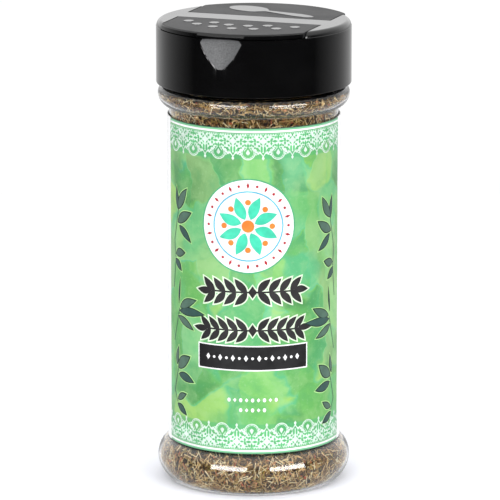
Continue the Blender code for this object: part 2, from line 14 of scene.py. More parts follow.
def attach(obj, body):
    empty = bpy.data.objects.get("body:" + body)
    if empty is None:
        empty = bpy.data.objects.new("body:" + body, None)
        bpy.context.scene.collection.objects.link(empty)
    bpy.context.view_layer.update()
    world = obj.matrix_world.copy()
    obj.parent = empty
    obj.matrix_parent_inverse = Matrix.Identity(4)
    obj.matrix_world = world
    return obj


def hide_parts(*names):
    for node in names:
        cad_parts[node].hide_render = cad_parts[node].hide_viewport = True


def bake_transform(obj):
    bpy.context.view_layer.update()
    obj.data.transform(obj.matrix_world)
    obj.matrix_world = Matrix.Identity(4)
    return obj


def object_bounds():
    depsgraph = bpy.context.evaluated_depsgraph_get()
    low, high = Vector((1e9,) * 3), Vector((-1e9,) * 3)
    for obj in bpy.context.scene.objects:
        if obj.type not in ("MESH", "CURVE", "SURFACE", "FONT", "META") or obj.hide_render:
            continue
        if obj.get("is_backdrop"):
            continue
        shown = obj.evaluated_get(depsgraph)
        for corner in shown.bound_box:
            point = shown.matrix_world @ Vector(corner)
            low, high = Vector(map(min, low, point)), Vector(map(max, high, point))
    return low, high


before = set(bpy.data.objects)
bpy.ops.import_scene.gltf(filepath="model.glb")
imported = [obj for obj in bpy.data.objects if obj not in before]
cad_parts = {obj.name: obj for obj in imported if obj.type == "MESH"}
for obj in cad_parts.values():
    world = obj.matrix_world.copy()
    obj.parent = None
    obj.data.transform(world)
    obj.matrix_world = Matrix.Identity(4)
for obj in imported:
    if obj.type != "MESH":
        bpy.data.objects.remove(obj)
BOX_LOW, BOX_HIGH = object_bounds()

log = logging.getLogger("thyme_shaker")

MM = 0.001
FULL_TURN = 2 * math.pi

# Two fractions that spread any number of bits evenly over a turn and a height
TURN_STEP = FULL_TURN * 0.7548776662
RISE_STEP = 0.5698402910

PRINT_GLOSS = (0.36, 0.46)
SPREAD = (0.3, 0.7)

Mesh = bmesh.types.BMesh
Piece = bpy.types.Object
Material = bpy.types.Material
Socket = bpy.types.NodeSocket
Pair = tuple[float, float]
Outline = list[Pair]
Colour = tuple[float, float, float]


class Side(Enum):
    """Which side of the cap's bar a flap is on."""

    SIFTER = -1
    SPOON = 1


class Polish(Enum):
    """How a black plastic face was finished in its mould: its roughness and the height of its grain."""

    POLISHED = (0.07, 0.01)
    GRAINED = (0.58, 0.4)


class Bit(Enum):
    """The kinds of bit in the jar, with the length and thickness ranges of each in millimetres."""

    LEAF = ((1.1, 2.6), (0.38, 0.72))
    STALK = ((1.6, 4.0), (0.21, 0.37))
    CRUMB = ((0.6, 1.4), (0.36, 0.68))


# Node trees


def shaded(colour: Colour, factor: float) -> Colour:
    """A colour made darker or lighter by a factor, and at most white."""
    return tuple(min(1.0, c * factor) for c in colour)


class NodeSheet:
    """The node tree of a material or a world, with short calls that add and join its nodes."""

    def __init__(self, name: str, world: bpy.types.World | None = None) -> None:
        """Start a material that holds only a Principled shader and its output, or take up a world.

        Args:
            name: the material's name.
            world: the world whose nodes are set, in place of a material's.
        """
        self.material = world or bpy.data.materials.new(name)
        self.material.use_nodes = True
        self.tree = self.material.node_tree
        self.shader = self.tree.nodes["Background" if world else "Principled BSDF"]

    def add(self, kind: str, *inputs: object, **values: object) -> bpy.types.Node:
        """Add a node.

        Args:
            kind: the node's class name after ShaderNode.
            inputs: what its first inputs hold, in order.
            values: its properties by name, or its inputs by name with a blank for each underscore.

        Returns:
            The new node.
        """
        node = self.tree.nodes.new("ShaderNode" + kind)
        for key, value in values.items():
            if hasattr(node, key):
                setattr(node, key, value)
            else:
                self.set(node, key.replace("_", " "), value)
        for i, value in enumerate(inputs):
            self.set(node, i, value)
        return node

    def set(self, node: bpy.types.Node, name: str | int, value: object) -> None:
        """Give an input a value, or join it to a socket.

        Args:
            node: the node that has the input.
            name: the input's name or number.
            value: a plain value or an output socket.
        """
        if isinstance(value, Socket):
            self.tree.links.new(value, node.inputs[name])
        else:
            node.inputs[name].default_value = value

    def dress(self, **values: object) -> None:
        """Set the shader's own inputs, with a blank for each underscore in a name."""
        for key, value in values.items():
            self.set(self.shader, key.replace("_", " "), value)

    def place(self, scale: tuple[float, float, float] = (1, 1, 1)) -> Socket:
        """Object coordinates stretched by a scale along X, Y and Z."""
        origin = self.add("TexCoord").outputs["Object"]
        return self.add("Mapping", Vector=origin, Scale=scale).outputs["Vector"]

    def noise(self, scale: float, detail: float = 3.0, **values: object) -> Socket:
        """A noise texture.

        Args:
            scale: how many blotches there are in a metre.
            detail: how many finer layers it has.
            values: further inputs.

        Returns:
            The value socket.
        """
        return self.add("TexNoise", Scale=scale, Detail=detail, **values).outputs["Fac"]

    def ramp(self, value: Socket, stops: list[tuple[float, Colour]]) -> Socket:
        """Colours along a value.

        Args:
            value: the socket that picks the place.
            stops: the place and colour of each stop.

        Returns:
            The colour socket.
        """
        node = self.add("ValToRGB", value)
        elements = node.color_ramp.elements
        while len(elements) < len(stops):
            elements.new(0.5)
        for element, (place, colour) in zip(elements, stops):
            element.position = place
            element.color = (*colour, 1.0)
        return node.outputs["Color"]

    def span(self, value: Socket, source: Pair, target: tuple[object, object]) -> Socket:
        """A value carried from one range to another, and held inside it.

        Args:
            value: the value socket.
            source: the range that it comes in.
            target: the range that it goes out in, as numbers or sockets.

        Returns:
            The value socket.
        """
        return self.add("MapRange", value, *source, *target).outputs["Result"]

    def blend(self, share: Socket, first: object, second: object) -> Socket:
        """Two colours mixed.

        Args:
            share: how much of the second colour there is.
            first: the first colour, or its socket.
            second: the second colour, or its socket.

        Returns:
            The colour socket.
        """
        pair = [(*value, 1.0) if isinstance(value, tuple) else value for value in (first, second)]
        return self.add("MixRGB", share, *pair).outputs["Color"]

    def relief(self, height: Socket, strength: object, distance: float) -> None:
        """Bump the surface.

        Args:
            height: the height socket.
            strength: the bump's strength, or its socket.
            distance: the height of a full step, in metres.
        """
        bump = self.add("Bump", Height=height, Strength=strength, Distance=distance)
        self.dress(Normal=bump.outputs["Normal"])


# Finishes


@dataclass(frozen=True)
class ClearPlastic:
    """Clear blown plastic with faint waves in its wall."""

    tint: Colour = (0.95, 0.955, 0.945)
    roughness: float = 0.015
    ior: float = 1.5
    wave: float = 0.008 * MM

    def make(self) -> Material:
        """Build the material."""
        sheet = NodeSheet("clear_plastic")
        sheet.dress(Base_Color=(*self.tint, 1.0), IOR=self.ior, Transmission_Weight=1.0)
        smear = sheet.noise(60.0, 2.0, Vector=sheet.place())
        sheet.dress(Roughness=sheet.span(smear, (0.4, 0.7), (self.roughness, self.roughness * 2.2)))
        waves = sheet.noise(45.0, 1.0, Vector=sheet.place((1, 1, 0.5)))
        sheet.relief(waves, 0.5, self.wave)
        return sheet.material


@dataclass(frozen=True)
class BlackPlastic:
    """Black moulded plastic: polished, or grained below a height and nearer to the axis than a radius."""

    name: str
    colour: Colour = (0.0012, 0.0012, 0.0013)
    grain_below: float = 0.0
    grain_inside: float = 0.0
    grain_tone_and_painted_sheen: Colour = (0.011, 0.011, 0.012)
    ior: float = 1.5
    grain_depth: float = 0.12 * MM

    def make(self) -> Material:
        """Build the material."""
        sheet = NodeSheet(self.name)
        position = sheet.place()
        axes = sheet.add("SeparateXYZ", Vector=position).outputs
        flat = sheet.add("CombineXYZ", X=axes["X"], Y=axes["Y"]).outputs[0]
        radius = sheet.add("VectorMath", flat, operation="LENGTH").outputs["Value"]
        lower = sheet.span(axes["Z"], (self.grain_below, self.grain_below + 0.02 * MM), (1.0, 0.0))
        inner = sheet.span(radius, (self.grain_inside - 0.05 * MM, self.grain_inside), (1.0, 0.0))
        grained = sheet.add("Math", lower, inner, operation="MULTIPLY").outputs[0]

        (gloss, faint), (matt, strong) = Polish.POLISHED.value, Polish.GRAINED.value
        smear = sheet.noise(90.0, 3.0, Vector=position)
        smooth = sheet.span(smear, (0.35, 0.7), (gloss, gloss * 1.8))
        rough = sheet.span(smear, (0.35, 0.7), (matt * 0.94, matt * 1.06))
        sheet.dress(Roughness=sheet.span(grained, (0.0, 1.0), (smooth, rough)), IOR=self.ior)
        dust = sheet.ramp(smear, [(0.35, self.colour), (0.75, shaded(self.colour, 1.6))])
        grain = sheet.noise(2600.0, 4.0, Vector=position, Roughness=0.7)
        # The grained parts get a lighter grey than the polished black, mottled by the grain: painted sheen of
        # the grained faces.
        grain_and_sheen = sheet.ramp(grain, [(0.35, shaded(self.grain_tone_and_painted_sheen, 0.6)), (0.65, shaded(self.grain_tone_and_painted_sheen, 1.4))])
        sheet.dress(Base_Color=sheet.blend(grained, dust, grain_and_sheen))
        sheet.relief(grain, sheet.span(grained, (0.0, 1.0), (faint, strong)), self.grain_depth)
        return sheet.material


@dataclass(frozen=True)
class PrintedWash:
    """The label's print: loose washes of green between two bands of clearer green, and white paper behind; a
    painted shadow darkens its top and bottom edges.
    """

    half_front: float
    shift: float
    low: float
    high: float
    band: float
    light: float = 1.8
    greens: tuple[Colour, ...] = (
        (0.07, 0.33, 0.08), (0.165, 0.57, 0.12), (0.115, 0.61, 0.27), (0.30, 0.73, 0.21), (0.47, 0.79, 0.15),
    )
    seas: tuple[Colour, ...] = (
        (0.08, 0.45, 0.17), (0.205, 0.62, 0.12), (0.11, 0.635, 0.35), (0.37, 0.79, 0.29), (0.31, 0.58, 0.22),
    )

    def inked(self, colour: Colour) -> Colour:
        """The ink that looks like a colour in the room's light."""
        return tuple(c / self.light for c in colour)

    def make(self) -> Material:
        """Build the material, which reads the label's own map of arc length and height in metres."""
        sheet = NodeSheet("printed_wash")
        wrap = sheet.add("UVMap", uv_map="wrap").outputs["UV"]
        axes = sheet.add("SeparateXYZ", Vector=wrap).outputs

        swirl = sheet.add("TexNoise", Scale=38.0, Detail=4.0, Vector=wrap, Roughness=0.6).outputs["Color"]
        bent = sheet.add("VectorMath", swirl, (0.016, 0.022, 0.0), wrap, operation="MULTIPLY_ADD").outputs[0]
        drawn = sheet.add("Mapping", Vector=bent, Scale=(1.0, 0.4, 1.0), Rotation=(0.0, 0.0, 0.5)).outputs[0]
        washes = []
        for place, scale, smooth, channel, colours in (
            (bent, 70.0, 0.18, "Red", self.greens),
            (drawn, 120.0, 0.1, "Green", self.seas),
        ):
            cells = sheet.add("TexVoronoi", feature="SMOOTH_F1", Vector=place, Scale=scale, Smoothness=smooth)
            pick = sheet.add("SeparateColor", Color=cells.outputs["Color"]).outputs[channel]
            washes.append(sheet.ramp(pick, [(i * 0.22 + 0.06, self.inked(c)) for i, c in enumerate(colours)]))
        turns = sheet.noise(55.0, 1.0, Vector=wrap)
        wash = sheet.blend(sheet.span(turns, (0.42, 0.58), (0.15, 0.8)), *washes)

        tide = sheet.noise(170.0, 5.0, Vector=bent, Roughness=0.62)
        flecks = sheet.noise(900.0, 3.0, Vector=wrap, Roughness=0.7)
        off_middle = sheet.add("Math", axes["Y"], (self.low + self.high) / 2, operation="SUBTRACT").outputs[0]
        away = sheet.add("Math", off_middle, operation="ABSOLUTE").outputs[0]
        reach = (self.high - self.low) / 2
        for value, source, most, colour in (
            (tide, (0.46, 0.70), 0.35, (0.50, 0.82, 0.36)),
            (tide, (0.48, 0.30), 0.35, (0.07, 0.42, 0.16)),
            (flecks, (0.56, 0.74), 0.3, (0.46, 0.78, 0.42)),
            (away, (reach - self.band, reach - self.band + 0.4 * MM), 0.62, (0.085, 0.55, 0.19)),
            (away, (reach - 0.8 * MM, reach - 0.75 * MM), 1.0, (0.24, 0.70, 0.36)),
            # painted shadow: the outermost 0.2 mm at the label's top and bottom is darkened as the shade of its
            # edge
            (away, (reach - 0.24 * MM, reach - 0.2 * MM), 0.9, (0.06, 0.16, 0.09)),
        ):
            wash = sheet.blend(sheet.span(value, source, (0.0, most)), wash, self.inked(colour))

        centred = sheet.add("Math", axes["X"], self.shift, operation="SUBTRACT").outputs[0]
        aside = sheet.add("Math", centred, operation="ABSOLUTE").outputs[0]
        behind = sheet.span(aside, (self.half_front, self.half_front + 0.05 * MM), (0.0, 1.0))
        fibres = sheet.noise(2600.0, 2.0, Vector=wrap)
        white = sheet.ramp(fibres, [(0.3, (0.72, 0.725, 0.72)), (0.7, (0.78, 0.78, 0.78))])
        sheet.dress(Base_Color=sheet.blend(behind, wash, white))
        sheet.dress(Roughness=sheet.span(fibres, SPREAD, PRINT_GLOSS), Coat_Weight=0.15, Coat_Roughness=0.3)
        sheet.relief(fibres, 0.06, 0.03 * MM)
        return sheet.material


@dataclass(frozen=True)
class Ink:
    """A printed ink that varies a little in depth."""

    name: str
    colour: Colour
    vary: float = 0.12

    def make(self) -> Material:
        """Build the material."""
        sheet = NodeSheet(self.name)
        depth = sheet.noise(420.0, 3.0, Vector=sheet.place())
        tones = [(0.35, shaded(self.colour, 1 - self.vary)), (0.65, shaded(self.colour, 1 + self.vary))]
        sheet.dress(Base_Color=sheet.ramp(depth, tones), Roughness=sheet.span(depth, SPREAD, PRINT_GLOSS))
        return sheet.material


@dataclass(frozen=True)
class DriedHerb:
    """Dried leaf and stalk: each bit has its own tone, which the mesh carries."""

    name: str
    stops: tuple[tuple[float, Colour], ...]

    def make(self) -> Material:
        """Build the material."""
        sheet = NodeSheet(self.name)
        colour = sheet.ramp(sheet.add("Attribute", attribute_name="tone").outputs["Fac"], list(self.stops))
        mottle = sheet.noise(1500.0, 3.0, Vector=sheet.place())
        colour = sheet.blend(sheet.span(mottle, (0.5, 0.3), (0.0, 0.55)), colour, (0.015, 0.008, 0.003))
        colour = sheet.blend(sheet.span(mottle, (0.55, 0.75), (0.0, 0.3)), colour, (0.52, 0.38, 0.14))
        sheet.dress(Base_Color=colour, Roughness=sheet.span(mottle, SPREAD, (0.62, 0.86)))
        sheet.relief(mottle, 0.5, 0.1 * MM)
        return sheet.material


# Mesh tools


def superellipse(widest: Pair, end: Pair, power: float, points: int) -> Outline:
    """A quarter of a superellipse.

    Args:
        widest: the (r, z) point where it is widest.
        end: the (r, z) point where it ends.
        power: 2 for an ellipse, less for a straighter line.
        points: how many points it has.

    Returns:
        The points from the widest one to the end.
    """
    made = []
    for i in range(points):
        a = math.pi / 2 * i / (points - 1)
        across = max(math.cos(a), 0.0) ** (2 / power)
        along = math.sin(a) ** (2 / power)
        made.append((end[0] + (widest[0] - end[0]) * across, widest[1] + (end[1] - widest[1]) * along))
    return made


def placed(name: str, bm: Mesh) -> Piece:
    """Put a mesh, which is freed, into the scene as an object of that name."""
    mesh = bpy.data.meshes.new(name)
    bm.to_mesh(mesh)
    bm.free()
    obj = bpy.data.objects.new(name, mesh)
    bpy.context.scene.collection.objects.link(obj)
    return obj


def modified(obj: Piece) -> Mesh:
    """The mesh of an object with its modifiers applied; the object is removed."""
    bpy.context.view_layer.update()
    made = bpy.data.meshes.new_from_object(obj.evaluated_get(bpy.context.evaluated_depsgraph_get()))
    bm = bmesh.new()
    bm.from_mesh(made)
    bpy.data.objects.remove(obj)
    return bm


def gather(whole: Mesh, part: Mesh) -> None:
    """Add a mesh, which is freed, to another."""
    mesh = bpy.data.meshes.new("part")
    part.to_mesh(mesh)
    part.free()
    whole.from_mesh(mesh)
    bpy.data.meshes.remove(mesh)


def everything(bm: Mesh) -> list[object]:
    """All vertices, edges and faces of a mesh."""
    return bm.verts[:] + bm.edges[:] + bm.faces[:]


def finished(name: str, bm: Mesh, finish: Material, sharp: float = 32.0, weighed: bool = False) -> Piece:
    """Turn a bmesh into an object of the scene.

    Args:
        name: the piece's name.
        bm: the mesh, which is freed.
        finish: its material.
        sharp: the angle in degrees past which an edge stays sharp.
        weighed: whether large faces set the shading of the roundings beside them.

    Returns:
        The object.
    """
    obj = placed(name, bm)
    mesh = obj.data
    mesh.polygons.foreach_set("use_smooth", [True] * len(mesh.polygons))
    mesh.set_sharp_from_angle(angle=math.radians(sharp))
    mesh.materials.append(finish)
    if weighed:
        shading = obj.modifiers.new("large_faces_first", "WEIGHTED_NORMAL")
        shading.weight, shading.keep_sharp = 90, True
    return obj


def lathe(
    outline: Outline, steps: int, closed: bool = True, angle: float = FULL_TURN, start: float = 0.0
) -> Mesh:
    """Spin an outline round the Z axis.

    Args:
        outline: (r, z) points.
        steps: steps round the axis.
        closed: whether the last point joins the first.
        angle: how far it turns.
        start: the angle that it starts at, from +X.

    Returns:
        The turned solid.
    """
    bm = bmesh.new()
    verts = [bm.verts.new((r * math.cos(start), r * math.sin(start), z)) for r, z in outline]
    edges = [bm.edges.new(pair) for pair in zip(verts, verts[1:])]
    if closed:
        edges.append(bm.edges.new((verts[-1], verts[0])))
    whole = abs(angle - FULL_TURN) < 1e-9
    bmesh.ops.spin(
        bm, geom=verts + edges, cent=(0, 0, 0), axis=(0, 0, 1), angle=angle, steps=steps,
        use_merge=whole, use_duplicate=False,
    )
    bmesh.ops.remove_doubles(bm, verts=bm.verts, dist=1e-7)
    if not whole:
        bmesh.ops.holes_fill(bm, edges=[e for e in bm.edges if e.is_boundary], sides=0)
    bmesh.ops.recalc_face_normals(bm, faces=bm.faces)
    return bm


def box(low: tuple[float, float, float], high: tuple[float, float, float]) -> Mesh:
    """A box between two corners.

    Args:
        low: its lowest corner.
        high: its highest corner.

    Returns:
        The box.
    """
    bm = bmesh.new()
    a, b = Vector(low), Vector(high)
    place = Matrix.Translation((a + b) / 2) @ Matrix.Diagonal((*(b - a), 1))
    bmesh.ops.create_cube(bm, size=1.0, matrix=place)
    return bm


def drum(centre: Pair, radius: float, low: float, high: float, steps: int = 40, top: float = 1.0) -> Mesh:
    """An upright cylinder.

    Args:
        centre: its axis.
        radius: its radius at the bottom.
        low: its bottom.
        high: its top.
        steps: its sides.
        top: its top radius as a share of the bottom one.

    Returns:
        The cylinder.
    """
    bm = bmesh.new()
    place = Matrix.Translation((*centre, (low + high) / 2))
    bmesh.ops.create_cone(
        bm, cap_ends=True, segments=steps, radius1=radius, radius2=radius * top, depth=high - low, matrix=place
    )
    return bm


def carve(body: Mesh, tool: Mesh, operation: str) -> Mesh:
    """Cut, join or keep what is common with a Boolean.

    Args:
        body: the solid that changes, which is freed.
        tool: the other solid, which is freed.
        operation: DIFFERENCE, UNION or INTERSECT.

    Returns:
        The new solid.
    """
    carved, carving = placed("carved", body), placed("carving", tool)
    cut = carved.modifiers.new("cut", "BOOLEAN")
    cut.operation, cut.object, cut.solver = operation, carving, "EXACT"
    made = modified(carved)
    bpy.data.objects.remove(carving)
    return made


def rounded(bm: Mesh, width: float, angle: float = 42.0, segments: int = 2) -> Mesh:
    """Round every edge sharper than an angle, as a Bevel modifier does.

    Args:
        bm: the solid, which is freed.
        width: the rounding's width.
        angle: the sharpness in degrees that is rounded.
        segments: how many faces the rounding has.

    Returns:
        The rounded solid.
    """
    bmesh.ops.dissolve_limit(bm, angle_limit=math.radians(0.3), verts=bm.verts, edges=bm.edges)
    rounding = placed("rounding", bm)
    bevel = rounding.modifiers.new("bevel", "BEVEL")
    bevel.width, bevel.segments, bevel.limit_method = width, segments, "ANGLE"
    bevel.angle_limit = math.radians(angle)
    bevel.use_clamp_overlap = True
    return modified(rounding)


@dataclass(frozen=True)
class Thread:
    """The ridge of a right-hand screw thread."""

    radius: float
    low: float
    ridge: float = 0.9 * MM
    pitch: float = 3.6 * MM
    turns: float = 1.25
    turn_steps: int = 44

    def build(self, start: float = 0.0) -> Mesh:
        """Build the ridge as a closed solid.

        Args:
            start: the angle that it starts at, from +X.

        Returns:
            The solid.
        """
        bm = bmesh.new()
        place = Matrix.Rotation(start, 4, "Z") @ Matrix.Translation((self.radius, 0, self.low))
        place = place @ Matrix.Rotation(math.pi / 2, 4, "X")
        bmesh.ops.create_circle(bm, cap_ends=False, radius=self.ridge, segments=10, matrix=place)
        steps = int(self.turn_steps * self.turns)
        bmesh.ops.spin(
            bm, geom=everything(bm), cent=(0, 0, 0), axis=(0, 0, 1), angle=FULL_TURN * self.turns,
            dvec=(0, 0, self.pitch * self.turns / steps), steps=steps, use_duplicate=False,
        )
        bmesh.ops.holes_fill(bm, edges=[e for e in bm.edges if e.is_boundary], sides=0)
        bmesh.ops.recalc_face_normals(bm, faces=bm.faces)
        return bm


# Sub-assemblies


@dataclass
class ClearJar:
    """The blown jar: a round foot, a panel for the label, a round shoulder and a threaded neck."""

    wall: float = 0.45 * MM
    ring_inner: float = 22.2 * MM
    ring_outer: float = 24.35 * MM
    push_up: float = 2.4 * MM
    foot: Pair = (28.62 * MM, 6.63 * MM)
    foot_powers: Pair = (1.62, 1.93)
    panel: float = 25.03 * MM
    panel_low: float = 12.65 * MM
    panel_high: float = 112.85 * MM
    shoulder: Pair = (28.33 * MM, 116.7 * MM)
    shoulder_power: float = 1.75
    shoulder_top: float = 119.5 * MM
    neck: float = 25.3 * MM
    bore: float = 23.8 * MM
    neck_foot: float = 119.8 * MM
    mouth: float = 135.1 * MM
    rim: float = 0.3 * MM
    fillet: float = 1.6 * MM
    steps: int = 160
    arc_points: int = 20
    thread: Thread = Thread(25.65 * MM, 126.2 * MM)

    def outside(self) -> Outline:
        """The outer side, from the mouth down to the middle of the foot."""
        n = self.arc_points
        points = [(self.neck - self.rim, self.mouth), (self.neck, self.mouth - self.rim)]
        points += [(self.neck, self.neck_foot)]
        points += superellipse(self.shoulder, (self.neck + 0.6 * MM, self.shoulder_top), 2.0, n // 2)[::-1]
        points += superellipse(self.shoulder, (self.panel, self.panel_high), self.shoulder_power, n)[1:]
        low, turn = self.panel_low - 0.35 * MM, self.fillet
        points += [
            (self.panel + turn * (1 - math.cos(a)), low - 0.08 * MM + turn * (1 - math.sin(a)))
            for a in (i * math.pi / 12 for i in range(6))
        ]
        bead = superellipse(self.foot, (self.panel, low), self.foot_powers[1], n)
        points += [p for p in bead[::-1] if p[0] > self.panel + turn]
        points += superellipse(self.foot, (self.ring_outer, 0.0), self.foot_powers[0], n)[1:]
        points += [(self.ring_inner, 0.0), (self.ring_inner - 0.5 * MM, 0.25 * MM)]
        points += [(self.ring_inner - 2.2 * MM, self.push_up * 0.6)]
        points += [(self.ring_inner * 0.5, self.push_up * 0.92), (0.0, self.push_up)]
        return points

    def inside(self) -> Outline:
        """The inner side, from the middle of the floor up to the mouth."""
        n, low = self.arc_points, self.wall * 0.8
        foot = (self.foot[0] - self.wall, self.foot[1])
        shoulder = (self.shoulder[0] - self.wall, self.shoulder[1] - 0.2 * MM)
        panel = self.panel - self.wall
        points = [(0.0, self.push_up + self.wall), (self.ring_inner * 0.5, self.push_up * 0.92 + self.wall)]
        points += [(self.ring_inner - 2.8 * MM, self.push_up * 0.6 + self.wall), (self.ring_inner, low)]
        points += superellipse(foot, (self.ring_outer - 0.5 * MM, low), self.foot_powers[0], n)[::-1]
        points += superellipse(foot, (panel, self.panel_low - 0.3 * MM), self.foot_powers[1], n)[1:]
        points += superellipse(shoulder, (panel, self.panel_high + 0.4 * MM), self.shoulder_power, n)[::-1]
        points += superellipse(shoulder, (self.bore + 0.8 * MM, self.shoulder_top - 0.8 * MM), 2.0, n // 2)[1:]
        points += [(self.bore, self.neck_foot), (self.bore, self.mouth - self.rim)]
        points += [(self.bore + self.rim, self.mouth)]
        return points

    def build(self, finish: Material) -> Piece:
        """Build the jar.

        Args:
            finish: its material.

        Returns:
            The jar.
        """
        shell = lathe(self.inside() + self.outside(), self.steps, closed=True)
        jar = finished("clear_jar", carve(shell, self.thread.build(), "UNION"), finish, 50)
        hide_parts("jar")
        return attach(jar, "jar")


@dataclass
class ThymeFill:
    """The dried thyme: a heap that fills the jar, and loose bits lying all over it."""

    jar: ClearJar
    gap: float = 1.5 * MM
    top: float = 124.0 * MM
    crown: float = 2.2 * MM
    rim: float = 20.5 * MM
    clearance: float = 0.10 * MM
    deepest: float = 1.3 * MM
    foot_bits: int = 5800
    low_bits: int = 1300
    shoulder_bits: int = 4400
    top_bits: int = 2300
    floor_bits: int = 1500
    gap_bits: int = 620
    chunk: int = 120
    seed: int = 30
    table_step: float = 0.1 * MM
    walls: list[float] = field(default_factory=list)

    def __post_init__(self) -> None:
        """Tabulate the jar's inner radius by height."""
        side = [p for p in self.jar.inside() if p[0] >= self.jar.ring_inner]
        height = 0.0
        while height < self.jar.mouth:
            radius = side[0][0]
            for (r0, z0), (r1, z1) in zip(side, side[1:]):
                if z0 <= height <= z1 and z1 > z0:
                    radius = r0 + (r1 - r0) * (height - z0) / (z1 - z0)
            self.walls.append(radius if height > side[0][1] else side[0][0])
            height += self.table_step

    def wall(self, z: float) -> float:
        """The jar's inner radius at a height."""
        place = min(max(z / self.table_step, 0.0), len(self.walls) - 1.001)
        low = int(place)
        return self.walls[low] + (self.walls[low + 1] - self.walls[low]) * (place - low)

    def floor(self, r: float) -> float:
        """The height of the jar's inner floor at a radius."""
        points = self.jar.inside()[:4]
        for (r0, z0), (r1, z1) in zip(points, points[1:]):
            if r <= r1:
                return z0 + (z1 - z0) * (r - r0) / (r1 - r0)
        return points[-1][1]

    def heap_outline(self) -> Outline:
        """The heap's outline, from its crown down its side and in along its underside."""
        points = [(0.0, self.top + self.crown), (12 * MM, self.top + self.crown * 0.6), (self.rim, self.top)]
        side = [p for p in self.jar.inside() if 1.8 * MM < p[1] < self.top and p[0] > self.jar.ring_inner]
        points.append((self.jar.bore - self.gap, self.top - 1.6 * MM))
        points += [(r - self.gap, z) for r, z in reversed(side)]
        low = self.jar.wall * 1.1 + self.gap
        points += [(self.jar.ring_inner - 0.5 * MM, low), (19 * MM, self.floor(19 * MM) + self.gap)]
        points.append((0.0, self.floor(0.0) + self.gap))
        return points

    def spots(self, rng: random.Random) -> list[tuple[Vector, Vector]]:
        """Where every bit lies, and the way out of the heap there.

        Args:
            rng: the seeded random numbers.

        Returns:
            Pairs of a point on the jar's inner side and the direction out.
        """
        made = []
        step = 0.4 * MM

        def on_side(z: float, angle: float) -> tuple[Vector, Vector]:
            """A point of the wall and the direction out of it."""
            slope = max(-3.0, min(3.0, (self.wall(z + step) - self.wall(z - step)) / (2 * step)))
            out = Vector((math.cos(angle), math.sin(angle), -slope)).normalized()
            return Vector((self.wall(z) * math.cos(angle), self.wall(z) * math.sin(angle), z)), out

        bands = ((self.foot_bits, 0.6, 14.6), (self.low_bits, 0.48, 2.6), (self.shoulder_bits, 109.4, 123.4))
        for count, low, high in bands:
            for i in range(count):
                made.append(on_side((low + (high - low) * ((i * RISE_STEP) % 1.0)) * MM, i * TURN_STEP))
        for i in range(self.top_bits):
            r = (self.jar.bore - 1.2 * MM) * math.sqrt((i * RISE_STEP) % 1.0)
            z = self.top + self.crown * (1 - (r / self.rim) ** 1.6) + rng.uniform(0.6, 1.9) * MM
            spot = Vector((r * math.cos(i * TURN_STEP), r * math.sin(i * TURN_STEP), z))
            made.append((spot, Vector((0, 0, 1))))
        for i in range(self.floor_bits):
            r = self.jar.ring_outer * math.sqrt((i * RISE_STEP) % 1.0)
            spot = Vector((r * math.cos(i * TURN_STEP), r * math.sin(i * TURN_STEP), self.floor(r)))
            made.append((spot, Vector((0, 0, -1))))
        for i in range(self.gap_bits):
            angle = math.pi / 2 + rng.uniform(-0.16, 0.16)
            made.append(on_side((14.0 + 96.0 * (i + 0.5) / self.gap_bits) * MM, angle))
        return made

    def excess(self, place: Matrix, half: float) -> float:
        """How far a bit reaches past its clearance from the jar.

        Args:
            place: the bit's place.
            half: half its length.

        Returns:
            The distance, 0 or less if it is clear.
        """
        worst = -1.0
        for share in (-1.0, -0.5, 0.0, 0.5, 1.0):
            point = place @ Vector((0, 0, half * share))
            r = math.hypot(point.x, point.y)
            worst = max(worst, r - self.wall(point.z) + self.clearance)
            if r < self.jar.ring_outer and point.z < 6 * MM:
                worst = max(worst, self.floor(r) + self.clearance - point.z)
        return worst

    def lay(self, bm: Mesh, tone: object, kind: Bit, spot: Vector, out: Vector, rng: random.Random) -> None:
        """Lay one bit on the heap.

        Args:
            bm: the mesh that it goes into.
            tone: the mesh's tone layer.
            kind: what it is.
            spot: the point of the wall that it lies behind.
            out: the direction out of the heap.
            rng: the seeded random numbers.
        """
        (short, long), (thin, thick) = kind.value
        length, across = rng.uniform(short, long) * MM, rng.uniform(thin, thick) * MM
        deep = self.clearance + across / 2 + abs(rng.gauss(0, 0.42)) * self.deepest
        stand = out.to_track_quat("Z", "Y").to_matrix().to_4x4()
        lie = Matrix.Rotation(rng.uniform(0, FULL_TURN), 4, "Z")
        lie = lie @ Matrix.Rotation(math.pi / 2 + rng.gauss(0, 0.12), 4, "X")
        place = Matrix.Translation(spot - out * min(deep, self.deepest * 1.3)) @ stand @ lie
        for _ in range(3):
            over = self.excess(place, length / 2)
            if over > 0:
                place = Matrix.Translation(-out * over * 1.15) @ place
        if self.excess(place, length / 2) > 0.1 * MM:
            return
        roll = Matrix.Rotation(rng.uniform(-0.6, 0.6), 4, "Z")
        if kind is Bit.STALK:
            made = bmesh.ops.create_cone(
                bm,
                cap_ends=True,
                segments=4,
                radius1=across / 2,
                radius2=across * rng.uniform(0.3, 0.46),
                depth=length,
                matrix=place @ roll,
            )["verts"]
        else:
            flat = 0.4 if kind is Bit.LEAF else 0.7
            shape = place @ roll @ Matrix.Diagonal((across / 2, across / 2 * flat, length / 2, 1))
            made = bmesh.ops.create_uvsphere(bm, u_segments=4, v_segments=3, radius=1.0, matrix=shape)["verts"]
        value = rng.random()
        for vert in made:
            vert[tone] = value

